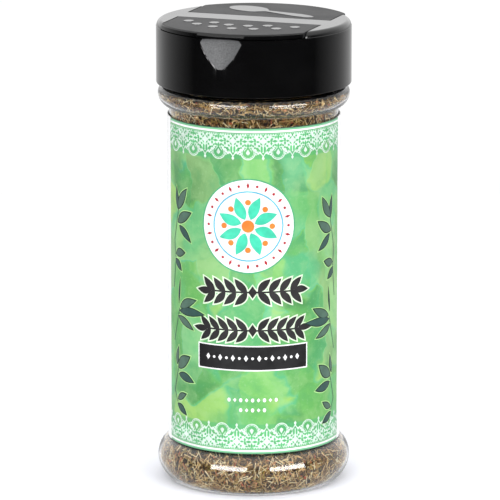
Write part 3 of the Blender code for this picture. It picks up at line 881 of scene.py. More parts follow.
    def build(self, heap_finish: Material, bit_finishes: dict[Bit, Material]) -> list[Piece]:
        """Build the heap and its bits.

        Args:
            heap_finish: the heap's material.
            bit_finishes: the material of each kind of bit.

        Returns:
            The heap, then one object for each kind of bit.
        """
        heap = finished("thyme_heap", lathe(self.heap_outline(), 96, closed=False), heap_finish)
        rng = random.Random(self.seed)
        piles = {kind: [] for kind in Bit}
        for spot, out in self.spots(rng):
            draw = rng.random()
            kind = Bit.STALK if draw < 0.34 else Bit.LEAF if draw < 0.82 else Bit.CRUMB
            piles[kind].append((spot, out))
        made = [heap]
        for kind, places in piles.items():
            whole = bmesh.new()
            for start in range(0, len(places), self.chunk):
                part = bmesh.new()
                tone = part.verts.layers.float.new("tone")
                for spot, out in places[start : start + self.chunk]:
                    self.lay(part, tone, kind, spot, out, rng)
                gather(whole, part)
            made.append(finished(f"thyme_{kind.name.lower()}_bits", whole, bit_finishes[kind], 60))
        for piece in made:
            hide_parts("thyme")
            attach(piece, "jar")
        return made


@dataclass
class WrapLabel:
    """The label: a sheet round the jar's panel, printed in green washes with lace bands and dark sprigs."""

    radius: float = 25.63 * MM
    thickness: float = 0.3 * MM
    low: float = 12.9 * MM
    high: float = 110.45 * MM
    back_gap: float = 4.0 * MM
    half_front: float = 32.95 * MM
    front_shift: float = 0.35 * MM
    ink_lift: float = 0.02 * MM
    ink_depth: float = 0.015 * MM
    fold: float = 1.2 * MM
    lace_period: float = 8.87 * MM
    lace_start: Pair = (-1.7 * MM, -0.6 * MM)
    lace_margin: float = 1.35 * MM
    lace_beads: tuple[tuple[float, float, float], ...] = (
        (2.55, 5.6, 0.34), (2.95, 6.05, 0.3), (3.3, 5.75, 0.26), (2.35, 6.35, 0.22), (3.6, 5.95, 0.2),
    )
    gap_size: float = 1.85 * MM
    medallion_at: Pair = (-1.7 * MM, 81.5 * MM)
    medallion_radius: float = 14.2 * MM
    leaves: tuple[tuple[float, float, float, float, float], ...] = (
        (-26.9, 84.0, 58, 8.2, 3.0), (-26.9, 83.6, 98, 7.4, 1.9), (-27.4, 80.0, 30, 8.0, 3.2),
        (-26.6, 79.4, -38, 7.4, 2.5), (-28.6, 70.4, 12, 5.4, 2.8), (-28.9, 69.0, -42, 5.0, 2.4),
        (-26.2, 54.6, 24, 8.4, 2.9), (-26.6, 53.6, 2, 11.2, 2.8), (-27.2, 52.0, -24, 8.2, 2.5),
        (-26.8, 55.6, 84, 8.0, 1.0),
        (-27.4, 36.0, 36, 7.8, 3.6), (-27.0, 34.4, -12, 7.6, 2.8), (-28.0, 36.8, 80, 6.2, 1.9),
        (-27.8, 25.2, -30, 5.8, 2.4), (-27.6, 26.4, 28, 5.4, 2.2),
    )
    stems: tuple[tuple[float, float, float, float], ...] = (
        (-26.9, 84.0, -29.4, 74.5), (-29.4, 74.5, -28.6, 69.0), (-28.6, 69.0, -29.9, 60.0),
        (-26.4, 54.4, -29.6, 44.0), (-27.2, 36.0, -29.5, 29.0), (-29.5, 29.0, -27.6, 25.6),
    )
    sprig_sides: tuple[Pair, ...] = ((1, 0.0), (-1, 2.6))
    bar_at: Pair = (-0.35 * MM, 41.9 * MM)
    bar_half: Pair = (16.85 * MM, 3.45 * MM)

    def sheet(self, finish: Material) -> Piece:
        """The label's sheet with its map of arc length and height.

        Args:
            finish: its material.

        Returns:
            The sheet.
        """
        inner, e = self.radius - self.thickness, 0.06 * MM
        outline = [(inner, self.low), (inner, self.high), (self.radius - e, self.high)]
        outline += [(self.radius, self.high - e), (self.radius, self.low + e), (self.radius - e, self.low)]
        half_gap = self.back_gap / 2 / self.radius
        bm = lathe(outline, 240, closed=True, angle=FULL_TURN - 2 * half_gap, start=math.pi / 2 + half_gap)
        wrap = bm.loops.layers.uv.new("wrap")
        for face in bm.faces:
            centre = face.calc_center_median()
            for loop in face.loops:
                co = loop.vert.co
                angle = math.atan2(co.x, -co.y)
                if abs(angle) > math.pi * 0.9 and angle * centre.x < 0:
                    angle -= math.copysign(FULL_TURN, angle)
                loop[wrap].uv = (angle * self.radius, co.z)
        label = finished("wrap_label", bm, finish)
        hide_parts("label")
        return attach(label, "jar")

    def printed(self, name: str, flat: Mesh, finish: Material, layer: int) -> Piece:
        """Wrap flat shapes round the jar as a layer of ink.

        Args:
            name: the layer's name.
            flat: faces in the XY plane, X along the label and Y up it.
            finish: the ink.
            layer: how many layers it lies above the sheet.

        Returns:
            The layer.
        """
        reach = int((self.half_front + MM) / self.fold) + 1
        left, right = min(v.co.x for v in flat.verts), max(v.co.x for v in flat.verts)
        for i in range(-reach, reach + 1):
            if left < i * self.fold < right:
                bmesh.ops.bisect_plane(
                    flat, geom=everything(flat), plane_co=(i * self.fold, 0, 0), plane_no=(1, 0, 0)
                )
        bmesh.ops.recalc_face_normals(flat, faces=flat.faces)
        turned = [f for f in flat.faces if f.normal.z < 0]
        bmesh.ops.reverse_faces(flat, faces=turned)
        raised = bmesh.ops.extrude_face_region(flat, geom=flat.faces[:], use_keep_orig=True)["geom"]
        for vert in (v for v in raised if isinstance(v, bmesh.types.BMVert)):
            vert.co.z += self.ink_depth
        bmesh.ops.recalc_face_normals(flat, faces=flat.faces)
        base = self.radius + self.ink_lift * layer - self.ink_depth
        for vert in flat.verts:
            angle, r = vert.co.x / self.radius, base + vert.co.z
            vert.co = Vector((r * math.sin(angle), -r * math.cos(angle), vert.co.y))
        piece = finished(name, flat, finish)
        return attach(piece, "jar")

    def dot(self, bm: Mesh, at: Pair, size: Pair, turn: float = 0.0, sides: int = 10) -> None:
        """Add a flat round, oval or many-sided spot.

        Args:
            bm: the flat mesh.
            at: its middle.
            size: its half width and half height.
            turn: its turn in radians.
            sides: how many sides it has.
        """
        place = Matrix.Translation((*at, 0)) @ Matrix.Rotation(turn, 4, "Z") @ Matrix.Diagonal((*size, 1, 1))
        bmesh.ops.create_circle(bm, cap_ends=True, radius=1.0, segments=sides, matrix=place)

    def rule(self, bm: Mesh, a: Pair, b: Pair, width: float) -> None:
        """Add a straight line.

        Args:
            bm: the flat mesh.
            a: one end.
            b: the other end.
            width: its width.
        """
        start, end = Vector((*a, 0)), Vector((*b, 0))
        run = end - start
        place = Matrix.Translation((start + end) / 2) @ Matrix.Rotation(math.atan2(run.y, run.x), 4, "Z")
        place = place @ Matrix.Diagonal((run.length / 2, width / 2, 1, 1))
        bmesh.ops.create_grid(bm, x_segments=1, y_segments=1, size=1.0, matrix=place)

    def ring(self, bm: Mesh, at: Pair, radius: float, width: float, arc: Pair = (0.0, 360.0)) -> None:
        """Add a ring, or an arc of one.

        Args:
            bm: the flat mesh.
            at: its centre.
            radius: its outer radius.
            width: its width inwards.
            arc: where it starts and ends, in degrees from +X.
        """
        start, end = (math.radians(a) for a in arc)
        steps = max(5, int(abs(end - start) * 7))
        direction = Vector((math.cos(start), math.sin(start), 0))
        centre = Vector((*at, 0))
        pair = [bm.verts.new(centre + direction * r) for r in (radius - width, radius)]
        edge = bm.edges.new(pair)
        whole = abs(end - start) > FULL_TURN - 0.001
        bmesh.ops.spin(
            bm, geom=pair + [edge], cent=centre, axis=(0, 0, 1), angle=end - start, steps=steps,
            use_merge=whole, use_duplicate=False,
        )

    def leaf(self, bm: Mesh, base: Pair, length: float, width: float, turn: float, grow: float = 0.0) -> None:
        """Add a pointed leaf.

        Args:
            bm: the flat mesh.
            base: where it joins its stalk.
            length: its length.
            width: its width.
            turn: its direction in degrees from +X.
            grow: how much wider it is all round, or narrower below 0.
        """
        place = Matrix.Translation((*base, 0)) @ Matrix.Rotation(math.radians(turn), 4, "Z")
        first, last = -grow * 1.5, length + grow * 2.0
        count = 11
        rows = []
        for i in range(count + 1):
            t = i / count
            at = first + (last - first) * t
            half = max((width / 2 + grow) * math.sin(math.pi * t**0.85) ** 0.9, 0.01 * MM)
            bend = 0.10 * width * math.sin(math.pi * t)
            rows.append([bm.verts.new(place @ Vector((at, bend + side * half, 0))) for side in (1, -1)])
        edges = [bm.edges.new(row) for row in rows]
        bmesh.ops.bridge_loops(bm, edges=edges[:2])
        for near, far in zip(edges[1:], edges[2:]):
            bmesh.ops.bridge_loops(bm, edges=[near, far])

    def lace_ground(self, bm: Mesh, x: float, edge: float, down: float) -> None:
        """Add the white thread of one repeat of the lace.

        Args:
            bm: the flat mesh.
            x: the middle of the scallop.
            edge: the height of the line that it hangs from.
            down: -1 if it hangs down from there, 1 if it stands up.
        """
        half = self.lace_period / 2 / MM

        def at(u: float, v: float) -> Pair:
            """A point of the motif, in millimetres from the middle of its top."""
            return x + u * MM, edge + down * v * MM

        def arc(low: float, high: float) -> Pair:
            """An arc's ends, turned over if the lace stands up."""
            return (low, high) if down < 0 else (-high, -low)

        self.rule(bm, at(-half, 2.25), at(half, 2.25), 4.0 * MM)
        for side in (-1, 1):
            self.rule(bm, at(side * half, 5.0), at(side * (half - 1.35), 5.0), 1.5 * MM)
            self.rule(bm, at(side * 1.25, 4.3), at(side * 2.35, 5.3), 0.8 * MM)
            for u, v, size in self.lace_beads:
                self.dot(bm, at(side * u, v), (size * MM, size * MM), sides=8)
            self.rule(bm, at(side * (half - 0.85), 5.6), at(side * half, 6.9), 0.26 * MM)
        self.ring(bm, at(0, 5.75), 2.2 * MM, 0.27 * MM, arc(-205, 25))
        self.ring(bm, at(0, 5.75), 1.72 * MM, 0.13 * MM, arc(-215, 35))
        for i in range(9):
            a = math.radians(-200 + i * 27.5)
            self.dot(bm, at(1.83 * math.cos(a), 5.75 - 1.83 * math.sin(a)), (0.09 * MM, 0.09 * MM), sides=6)
        for side in (-1, 1):
            self.rule(bm, at(side * 0.1, 4.0), at(side * 1.15, 5.3), 0.16 * MM)
        self.dot(bm, at(0, 5.85), (0.58 * MM, 0.5 * MM), sides=10)
        self.dot(bm, at(0, 5.55), (0.45 * MM, 0.8 * MM), sides=4)
        self.dot(bm, at(0, 6.15), (0.24 * MM, 0.42 * MM), sides=4)
        self.dot(bm, at(half, 7.45), (0.40 * MM, 0.40 * MM), sides=10)
        self.dot(bm, at(half, 7.35), (0.34 * MM, 0.78 * MM), sides=4)

    def lace_gaps(self, bm: Mesh, x: float, edge: float, down: float) -> None:
        """Add the green gaps of one repeat of the lace.

        Args:
            bm: the flat mesh.
            x: the middle of the scallop.
            edge: the height of the line that it hangs from.
            down: -1 if it hangs down from there, 1 if it stands up.
        """
        half = self.lace_period / 2 / MM

        def gap(u: float, v: float, w: float, h: float, turn: float = 0.0, sides: int = 4) -> None:
            """A gap at a point in millimetres, with its half width and half height."""
            at = (x + u * MM, edge + down * v * MM)
            self.dot(bm, at, (w * self.gap_size, h * self.gap_size), math.radians(turn) * -down, sides)

        for v, tall in ((1.2, 0.52), (3.75, 0.5)):
            gap(0, v, 0.22, tall)
        for side in (-1, 1):
            gap(side * 0.95, 2.45, 0.5, 0.24)
            for v in (1.25, 3.6):
                gap(side * 0.75, v, 0.2, 0.34, side * (30 if v < 2 else -30))
            gap(side * 1.5, 1.05, 0.3, 0.14)
            gap(side * 1.45, 3.75, 0.16, 0.3, side * 40)
            gap(side * 2.05, 2.15, 0.2, 0.42, 0)
            gap(side * 2.05, 3.1, 0.2, 0.36, 0)
            gap(side * 1.7, 1.75, 0.12, 0.2)
            gap(side * (half - 1.55), 2.55, 0.34, 0.2)
            gap(side * (half - 1.2), 1.2, 0.22, 0.22, 45)
            gap(side * (half - 1.2), 3.75, 0.2, 0.26, 45)
            gap(side * (half - 0.62), 1.65, 0.13, 0.34, side * -40)
            gap(side * (half - 0.62), 3.2, 0.13, 0.34, side * 40)
            gap(side * (half - 0.46), 4.85, 0.2, 0.62, 0, 6)
            gap(side * (half - 1.15), 5.05, 0.14, 0.34, side * 25)
            gap(side * 1.95, 4.35, 0.14, 0.26, side * -35)
            gap(side * half, 0.85, 0.16, 0.28)
        for i in range(12):
            gap(-half + (i + 0.5) * half / 6, 0.48, 0.17, 0.13)

    def lace(self, gaps: bool) -> Mesh:
        """Both bands of lace.

        Args:
            gaps: whether the gaps are drawn, or else the thread.

        Returns:
            The flat shapes.
        """
        bm = bmesh.new()
        draw = self.lace_gaps if gaps else self.lace_ground
        bands = (
            (self.high - self.lace_margin, -1, self.lace_start[0]),
            (self.low + self.lace_margin, 1, self.lace_start[1]),
        )
        for edge, down, first in bands:
            for i in range(-4, 5):
                part = bmesh.new()
                draw(part, first + i * self.lace_period, edge, down)
                for side in (-1, 1):
                    end = (self.front_shift + side * (self.half_front - 0.1 * MM), 0, 0)
                    bmesh.ops.bisect_plane(
                        part, geom=everything(part), plane_co=end, plane_no=(side, 0, 0), clear_outer=True
                    )
                gather(bm, part)
        return bm

    def edge_lines(self) -> Mesh:
        """The white lines: one along each band, and one up each side of the front."""
        bm = bmesh.new()
        left, right = self.front_shift - self.half_front, self.front_shift + self.half_front
        for z in (self.high - 1.0 * MM, self.low + 1.0 * MM):
            self.rule(bm, (left, z), (right, z), 0.6 * MM)
        for x in (left, right):
            self.rule(bm, (x, self.low + 0.1 * MM), (x, self.high - 0.1 * MM), 0.5 * MM)
        return bm

    def sprigs(self, grow: float, shade: int) -> Mesh:
        """The leaves of the sprigs at both sides of the front.

        Args:
            grow: how much wider each leaf is, or narrower below 0.
            shade: 0 or 1 for every other leaf, 2 for all.

        Returns:
            The flat shapes.
        """
        bm = bmesh.new()
        for i, (x, z, turn, length, width) in enumerate(self.leaves):
            if shade in (2, i % 2):
                for side, drop in self.sprig_sides:
                    base = (self.front_shift + side * x * MM, (z - drop) * MM)
                    self.leaf(bm, base, length * MM, width * MM, turn if side > 0 else 180 - turn, grow)
        return bm

    def stalks(self) -> Mesh:
        """The stalks of the sprigs."""
        bm = bmesh.new()
        for side, drop in self.sprig_sides:
            for x0, z0, x1, z1 in self.stems:
                a = (self.front_shift + side * x0 * MM, (z0 - drop) * MM)
                self.rule(bm, a, (self.front_shift + side * x1 * MM, (z1 - drop) * MM), 0.3 * MM)
        return bm

    def garland(self, grow: float) -> Mesh:
        """Two level rows of paired dark leaves below the medallion, each growing out from its middle.

        Args:
            grow: how much wider each leaf is, for the pale outline.

        Returns:
            The flat shapes.
        """
        bm = bmesh.new()
        x = self.bar_at[0]
        for z, half, pairs, length, width in ((61.8, 15.0, 4, 5.4, 2.2), (50.3, 16.4, 5, 5.0, 2.0)):
            self.rule(bm, (x - (half - 2) * MM, z * MM), (x + (half - 2) * MM, z * MM), 0.5 * MM + 2 * grow)
            self.dot(bm, (x, z * MM), (1.3 * MM + grow * 1.4, 1.9 * MM + grow * 1.4), sides=4)
            for i in range(pairs):
                start = 1.6 + i * (half - 5.2) / (pairs - 1)
                for side in (0, 180):
                    base = (x + math.cos(math.radians(side)) * start * MM, z * MM)
                    for lean in (-47, 47):
                        turn = side + (lean if side == 0 else -lean)
                        self.leaf(bm, base, length * MM, width * MM, turn, grow)
            for side in (0, 180):
                end = x + math.cos(math.radians(side)) * (half - 2.6) * MM
                self.leaf(bm, (end, z * MM), 5.0 * MM, width * MM, side, grow)
        return bm

    def medallion(self) -> dict[str, Mesh]:
        """The round emblem: a white disc, rings, a circle of lozenges and a rosette of eight petals.

        Returns:
            The flat shapes of each ink by its name.
        """
        x, z = self.medallion_at
        r = self.medallion_radius
        inks = {name: bmesh.new() for name in ("rim", "disc", "blue", "red", "mint", "orange")}
        self.dot(inks["rim"], (x, z), (r, r), sides=72)
        self.dot(inks["disc"], (x, z), (r - 0.42 * MM, r - 0.42 * MM), sides=72)
        self.ring(inks["blue"], (x, z), r * 0.74, 0.42 * MM)
        for i in range(28):
            a = i * FULL_TURN / 28
            at = (x + r * 0.85 * math.cos(a), z + r * 0.85 * math.sin(a))
            size = (0.95 * MM, 0.42 * MM) if i % 2 else (0.42 * MM, 0.42 * MM)
            self.dot(inks["red"], at, size, turn=a, sides=4 if i % 2 else 8)
        for i in range(8):
            turn = i * 45.0 + 22.5
            a, b = math.radians(turn), math.radians(turn + 22.5)
            foot = (x + r * 0.15 * math.cos(a), z + r * 0.15 * math.sin(a))
            self.leaf(inks["mint"], foot, r * 0.5, r * 0.225, turn)
            at = (x + r * 0.5 * math.cos(b), z + r * 0.5 * math.sin(b))
            self.dot(inks["orange"], at, (r * 0.06, r * 0.06), sides=12)
        self.dot(inks["orange"], (x, z), (r * 0.13, r * 0.13), sides=24)
        return inks

    def bar(self, grow: float) -> Mesh:
        """The plain bar.

        Args:
            grow: how much wider it is all round, for the pale outline.

        Returns:
            The flat shape.
        """
        bm = bmesh.new()
        (x, z), (w, h) = self.bar_at, self.bar_half
        self.rule(bm, (x - w - grow, z), (x + w + grow, z), 2 * (h + grow))
        return bm

    def bar_marks(self) -> Mesh:
        """Small lozenges and dots along the bar, and two rows of them under it."""
        bm = bmesh.new()
        x, z = self.bar_at
        for i in range(15):
            size = (0.62 * MM, 0.95 * MM) if i % 2 == 0 else (0.42 * MM, 0.42 * MM)
            self.dot(bm, (x + (i - 7) * 1.95 * MM, z), size, sides=4 if i % 2 == 0 else 10)
        for lower, count in ((12.6, 9), (15.6, 5)):
            for i in range(count):
                at = (x + (i - (count - 1) / 2) * 1.75 * MM, z - lower * MM)
                self.dot(bm, at, (0.5 * MM, 0.62 * MM), sides=4 if i % 2 else 10)
        return bm

    def build(self, wash: Material, inks: dict[str, Material]) -> list[Piece]:
        """Build the label and all its print.

        Args:
            wash: the sheet's material.
            inks: the inks by name.

        Returns:
            The label and its layers.
        """
        outline, halo, heart = 0.38 * MM, 0.26 * MM, -0.3 * MM
        layers = [
            ("lace_lines", self.edge_lines(), "white", 1),
            ("lace_thread", self.lace(False), "lace", 2),
            ("lace_gaps", self.lace(True), "gap", 3),
            ("sprig_halo", self.sprigs(halo, 2), "halo", 2),
            ("sprig_stalks", self.stalks(), "slate", 3),
            ("sprig_edges", self.sprigs(0.0, 2), "deep", 4),
            ("sprig_pale_leaves", self.sprigs(heart, 0), "moss", 5),
            ("sprig_dark_leaves", self.sprigs(heart, 1), "slate", 5),
            ("garland_edge", self.garland(outline), "pale", 1),
            ("garland", self.garland(0.0), "dark", 3),
        ]
        for layer, (name, shape) in enumerate(self.medallion().items(), 1):
            layers.append((f"medallion_{name}", shape, "white" if name == "disc" else name, layer))
        layers += [
            ("bar_edge", self.bar(outline), "white", 1),
            ("bar", self.bar(0.0), "black", 2),
            ("bar_marks", self.bar_marks(), "white", 3),
        ]
        made = [self.sheet(wash)]
        for name, shape, ink, layer in layers:
            made.append(self.printed(name, shape, inks[ink], layer))
        return made


@dataclass
class ShakerCap:
    """The screw cap: skirt, deck, shoulders and the bar between the flaps, in one moulding."""

    radius: float = 28.8 * MM
    bore: float = 27.4 * MM
    low: float = 119.85 * MM
    top: float = 138.5 * MM
    edge_round: float = 1.8 * MM
    deck_low: float = 135.4 * MM
    deck_top: float = 136.7 * MM
    step: float = 0.12 * MM
    bar_half: float = 4.0 * MM
    pocket_half: float = 22.4 * MM
    turn: float = math.radians(-20.0)
    steps: int = 256
    notch: tuple[tuple[float, float, float], ...] = (
        (128.0 * MM, 3.25 * MM, 31.8 * MM),
        (131.5 * MM, 9.7 * MM, 37.1 * MM),
        (135.5 * MM, 16.0 * MM, 42.6 * MM),
        (137.1 * MM, 9.2 * MM, 35.8 * MM),
    )
    notch_backing: float = 0.9 * MM
    backing_low: float = 127.5 * MM
    sunk: float = 0.4 * MM
    hole_radius: float = 2.5 * MM
    holes: tuple[Pair, ...] = (
        (-12.6 * MM, 8.5 * MM), (-4.2 * MM, 8.5 * MM), (4.2 * MM, 8.5 * MM), (12.6 * MM, 8.5 * MM),
        (-7.8 * MM, 16.2 * MM), (0.0, 17.2 * MM), (7.8 * MM, 16.2 * MM),
    )
    pour_radius: float = 21.6 * MM
    pour_chord: float = 6.0 * MM
    pour_corner: float = 2.0 * MM
    thread: Thread = Thread(27.1 * MM, 124.4 * MM)

    def turned(self, bm: Mesh) -> Mesh:
        """Turn a mesh from the cap's own direction to where it is screwed to."""
        bmesh.ops.rotate(bm, verts=bm.verts, cent=(0, 0, 0), matrix=Matrix.Rotation(self.turn, 3, "Z"))
        return bm

    def shell_outline(self) -> Outline:
        """The cap's outline, from the middle of its top round its skirt to the underside of its deck."""
        start = (self.radius - self.step, self.top - self.edge_round)
        end = (self.radius - self.edge_round, self.top)
        points = [(0.0, self.top)] + superellipse(start, end, 2.0, 9)[::-1]
        points += [(self.radius - self.step, self.deck_top + 0.12 * MM), (self.radius, self.deck_top)]
        points += [(self.radius, self.low + 0.3 * MM), (self.radius - 0.1 * MM, self.low + 0.08 * MM)]
        points += [(self.radius - 0.3 * MM, self.low), (self.bore, self.low)]
        points += [(self.bore, self.deck_low - 0.8 * MM), (self.bore - 0.5 * MM, self.deck_low)]
        points += [(0.0, self.deck_low)]
        return points

    def scoop(self, side: int, grow: float) -> Mesh:
        """The thumb scoop under a flap's edge.

        Args:
            side: -1 for the sifter side, 1 for the spoon side.
            grow: how much bigger it is all round, for the wall behind it.

        Returns:
            The solid.
        """
        bm = bmesh.new()
        loops = []
        for z, radius, out in self.notch:
            low = grow if z == self.notch[0][0] else 0.0
            place = Matrix.Translation((0, side * out, z - low))
            wide = radius + grow
            ring = bmesh.ops.create_circle(bm, cap_ends=False, radius=wide, segments=130, matrix=place)["verts"]
            loops.append([e for e in bm.edges if e.verts[0] in ring and e.verts[1] in ring])
        for lower, upper in zip(loops, loops[1:]):
            bmesh.ops.bridge_loops(bm, edges=lower + upper)
        bmesh.ops.holes_fill(bm, edges=loops[0] + loops[-1], sides=0)
        bmesh.ops.recalc_face_normals(bm, faces=bm.faces)
        return bm

    def half_moon(self, radius: float, chord: float, low: float, high: float, corner: float) -> Mesh:
        """A half-moon prism on the spoon side.

        Args:
            radius: its round side's radius.
            chord: how far its straight side is from the axis.
            low: its bottom.
            high: its top.
            corner: how much its corners are rounded.

        Returns:
            The solid.
        """
        bm = bmesh.new()
        place = Matrix.Translation((0, 0, low))
        bmesh.ops.create_circle(bm, cap_ends=True, radius=radius, segments=128, matrix=place)
        bmesh.ops.bisect_plane(
            bm, geom=everything(bm), plane_co=(0, chord, 0), plane_no=(0, -1, 0), clear_outer=True
        )
        raised = bmesh.ops.extrude_face_region(bm, geom=bm.faces[:])["geom"]
        tops = [v for v in raised if isinstance(v, bmesh.types.BMVert)]
        bmesh.ops.translate(bm, verts=tops, vec=(0, 0, high - low))
        corners = [
            e for e in bm.edges
            if abs(e.verts[0].co.z - e.verts[1].co.z) > 1e-6 and abs(e.verts[0].co.y - chord) < 1e-7
        ]
        bmesh.ops.bevel(
            bm, geom=corners, offset=corner, segments=6, profile=0.5, affect="EDGES", material=-1,
            clamp_overlap=True,
        )
        bmesh.ops.recalc_face_normals(bm, faces=bm.faces)
        return bm

    def build(self, finish: Material) -> Piece:
        """Build the cap.

        Args:
            finish: its material.

        Returns:
            The cap.
        """
        body = lathe(self.shell_outline(), self.steps, closed=False)
        low, high = self.deck_low - MM, self.deck_top + MM
        for side in Side:
            inner = [(0.0, self.deck_low + self.sunk), (self.bore + self.sunk, self.deck_low + self.sunk)]
            inner += [(self.bore + self.sunk, self.backing_low), (0.0, self.backing_low)]
            core = lathe(inner, self.steps - 6, closed=False)
            body = carve(body, carve(self.scoop(side.value, self.notch_backing), core, "INTERSECT"), "UNION")
        for side in Side:
            near, far = sorted((side.value * self.bar_half, side.value * (self.radius + 2 * MM)))
            pocket = box((-self.pocket_half, near, self.deck_top), (self.pocket_half, far, self.top + MM))
            body = carve(body, pocket, "DIFFERENCE")
            body = carve(body, self.scoop(side.value, 0.0), "DIFFERENCE")
        for x, out in self.holes:
            body = carve(body, drum((x, -out), self.hole_radius, low, high, 48), "DIFFERENCE")
        moon = self.half_moon(self.pour_radius, self.pour_chord, low, high, self.pour_corner)
        body = carve(body, moon, "DIFFERENCE")
        body = rounded(carve(body, self.thread.build(-self.turn), "UNION"), 0.16 * MM)
        cap = finished("shaker_cap", self.turned(body), finish, 38, weighed=True)
        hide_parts("cap")
        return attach(cap, "jar")


@dataclass
class CapFlap:
    """A hinged flap: a plate with a rim, a thumb lip, and raised signs on its top."""

    cap: ShakerCap
    side: Side
    half_width: float = 22.0 * MM
    start: float = 4.3 * MM
    low: float = 137.0 * MM
    chamfer: float = 0.4 * MM
    plate_low: float = 137.3 * MM
    rim: float = 1.5 * MM
    lip_half: float = 7.2 * MM
    lip_proud: float = 0.4 * MM
    lip_top: float = 138.1 * MM
    peg_radius: float = 1.9 * MM
    peg_end: float = 136.1 * MM
    seal_gap: float = 0.6 * MM
    seal_width: float = 0.9 * MM
    relief: float = 0.12 * MM
    dot_radius: float = 1.5 * MM
    dots: tuple[Pair, ...] = (
        (0.0, 18.8 * MM), (6.3 * MM, 17.6 * MM), (12.3 * MM, 14.8 * MM),
        (3.0 * MM, 13.2 * MM), (8.3 * MM, 11.0 * MM), (16.5 * MM, 10.5 * MM),
    )
    spoon_at: Pair = (-7.3 * MM, 15.8 * MM)
    spoon_bowl: Pair = (6.7 * MM, 4.3 * MM)
    spoon_turn: float = math.radians(-19.5)
    spoon_neck: float = 6.3 * MM
    spoon_length: float = 24.4 * MM
    spoon_neck_width: float = 1.7 * MM
    spoon_end_width: float = 4.0 * MM
    spoon_end: float = 6.0 * MM
    web_depth: float = 0.22 * MM
    web_lap: float = 0.12 * MM

    def body_name(self) -> str:
        """The name of the flap's body and node."""
        return f"{self.side.name.lower()}_flap"

    def blank(self) -> Mesh:
        """The plate with its rim and lip."""
        cap, s = self.cap, self.side.value
        outline = [(0.0, cap.top), (cap.radius - self.chamfer, cap.top), (cap.radius, cap.top - self.chamfer)]
        outline += [(cap.radius, self.low), (0.0, self.low)]
        near, far = sorted((s * self.start, s * (cap.radius + 2 * MM)))
        window = box((-self.half_width, near, self.low - MM), (self.half_width, far, cap.top + MM))
        flap = carve(lathe(outline, cap.steps, closed=False), window, "INTERSECT")
        inner = cap.radius - self.rim
        hollow = [(0.0, self.plate_low), (inner, self.plate_low), (inner, self.low - MM), (0.0, self.low - MM)]
        near, far = sorted((s * (self.start + self.rim), s * cap.radius))
        half = self.half_width - self.rim
        room = box((-half, near, self.low - 2 * MM), (half, far, cap.top))
        tray = carve(lathe(hollow, cap.steps - 6, closed=False), room, "INTERSECT")
        flap = carve(flap, tray, "DIFFERENCE")
        proud, root = cap.radius + self.lip_proud, 20 * MM
        edge = [(root, self.lip_top), (cap.radius, self.lip_top), (proud, self.lip_top - self.lip_proud)]
        edge += [(proud, self.low), (cap.radius - MM, self.low), (root, self.lip_top - 0.3 * MM)]
        near, far = sorted((s * 24 * MM, s * (cap.radius + 3 * MM)))
        window = box((-self.lip_half, near, self.low - 2 * MM), (self.lip_half, far, cap.top))
        return carve(flap, carve(lathe(edge, cap.steps), window, "INTERSECT"), "UNION")

    def spoon_sign(self) -> Mesh:
        """The spoon sign: an oval bowl and a handle that widens to a round end."""
        half, wide = self.spoon_bowl
        turns = [math.pi - i * math.pi / 20 for i in range(18)]
        side = [(half * math.cos(a), wide * math.sin(a)) for a in turns]
        side += [(self.spoon_neck + 0.7 * MM, self.spoon_neck_width / 2)]
        side += [(self.spoon_length - self.spoon_end, self.spoon_end_width / 2)]
        for i in range(1, 8):
            a = math.pi / 2 - i * math.pi / 16
            x = self.spoon_length - self.spoon_end * (1 - math.cos(a))
            side.append((x, self.spoon_end_width / 2 * math.sin(a)))
        outline = side + [(self.spoon_length, 0.0)] + [(x, -y) for x, y in side[:0:-1]]
        bm = bmesh.new()
        face = bm.faces.new([bm.verts.new((x, y, self.cap.top - self.cap.sunk)) for x, y in outline])
        raised = bmesh.ops.extrude_face_region(bm, geom=[face])["geom"]
        tops = [v for v in raised if isinstance(v, bmesh.types.BMVert)]
        bmesh.ops.translate(bm, verts=tops, vec=(0, 0, self.cap.sunk + self.relief))
        place = Matrix.Translation((*self.spoon_at, 0)) @ Matrix.Rotation(self.spoon_turn, 4, "Z")
        bmesh.ops.transform(bm, matrix=place, verts=bm.verts)
        bmesh.ops.recalc_face_normals(bm, faces=bm.faces)
        return bm
    def build(self, finish: Material) -> Piece:
        """Build the flap.

        Args:
            finish: its material.

        Returns:
            The flap.
        """
        cap = self.cap
        flap = self.blank()
        inside = self.plate_low + cap.sunk
        if self.side is Side.SIFTER:
            for x, out in cap.holes:
                peg = drum((x, -out), self.peg_radius * 0.92, self.peg_end, inside, 32, top=1 / 0.92)
                flap = carve(flap, peg, "UNION")
            for x, out in self.dots + tuple((-x, out) for x, out in self.dots if x > 0):
                spot = drum((x, -out), self.dot_radius, cap.top - cap.sunk, cap.top + self.relief, 32)
                flap = carve(flap, spot, "UNION")
        else:
            radius, chord = cap.pour_radius - self.seal_gap, cap.pour_chord + self.seal_gap
            seal = cap.half_moon(radius, chord, self.peg_end, inside, cap.pour_corner)
            radius, chord = radius - self.seal_width, chord + self.seal_width
            hollow = cap.half_moon(radius, chord, self.peg_end - MM, inside + MM, cap.pour_corner * 0.6)
            flap = carve(flap, carve(seal, hollow, "DIFFERENCE"), "UNION")
            flap = carve(flap, self.spoon_sign(), "UNION")
        flap = rounded(flap, 0.1 * MM)
        piece = finished(f"{self.body_name()}_moulding", cap.turned(flap), finish, 38, weighed=True)
        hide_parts(self.body_name())
        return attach(piece, self.body_name())

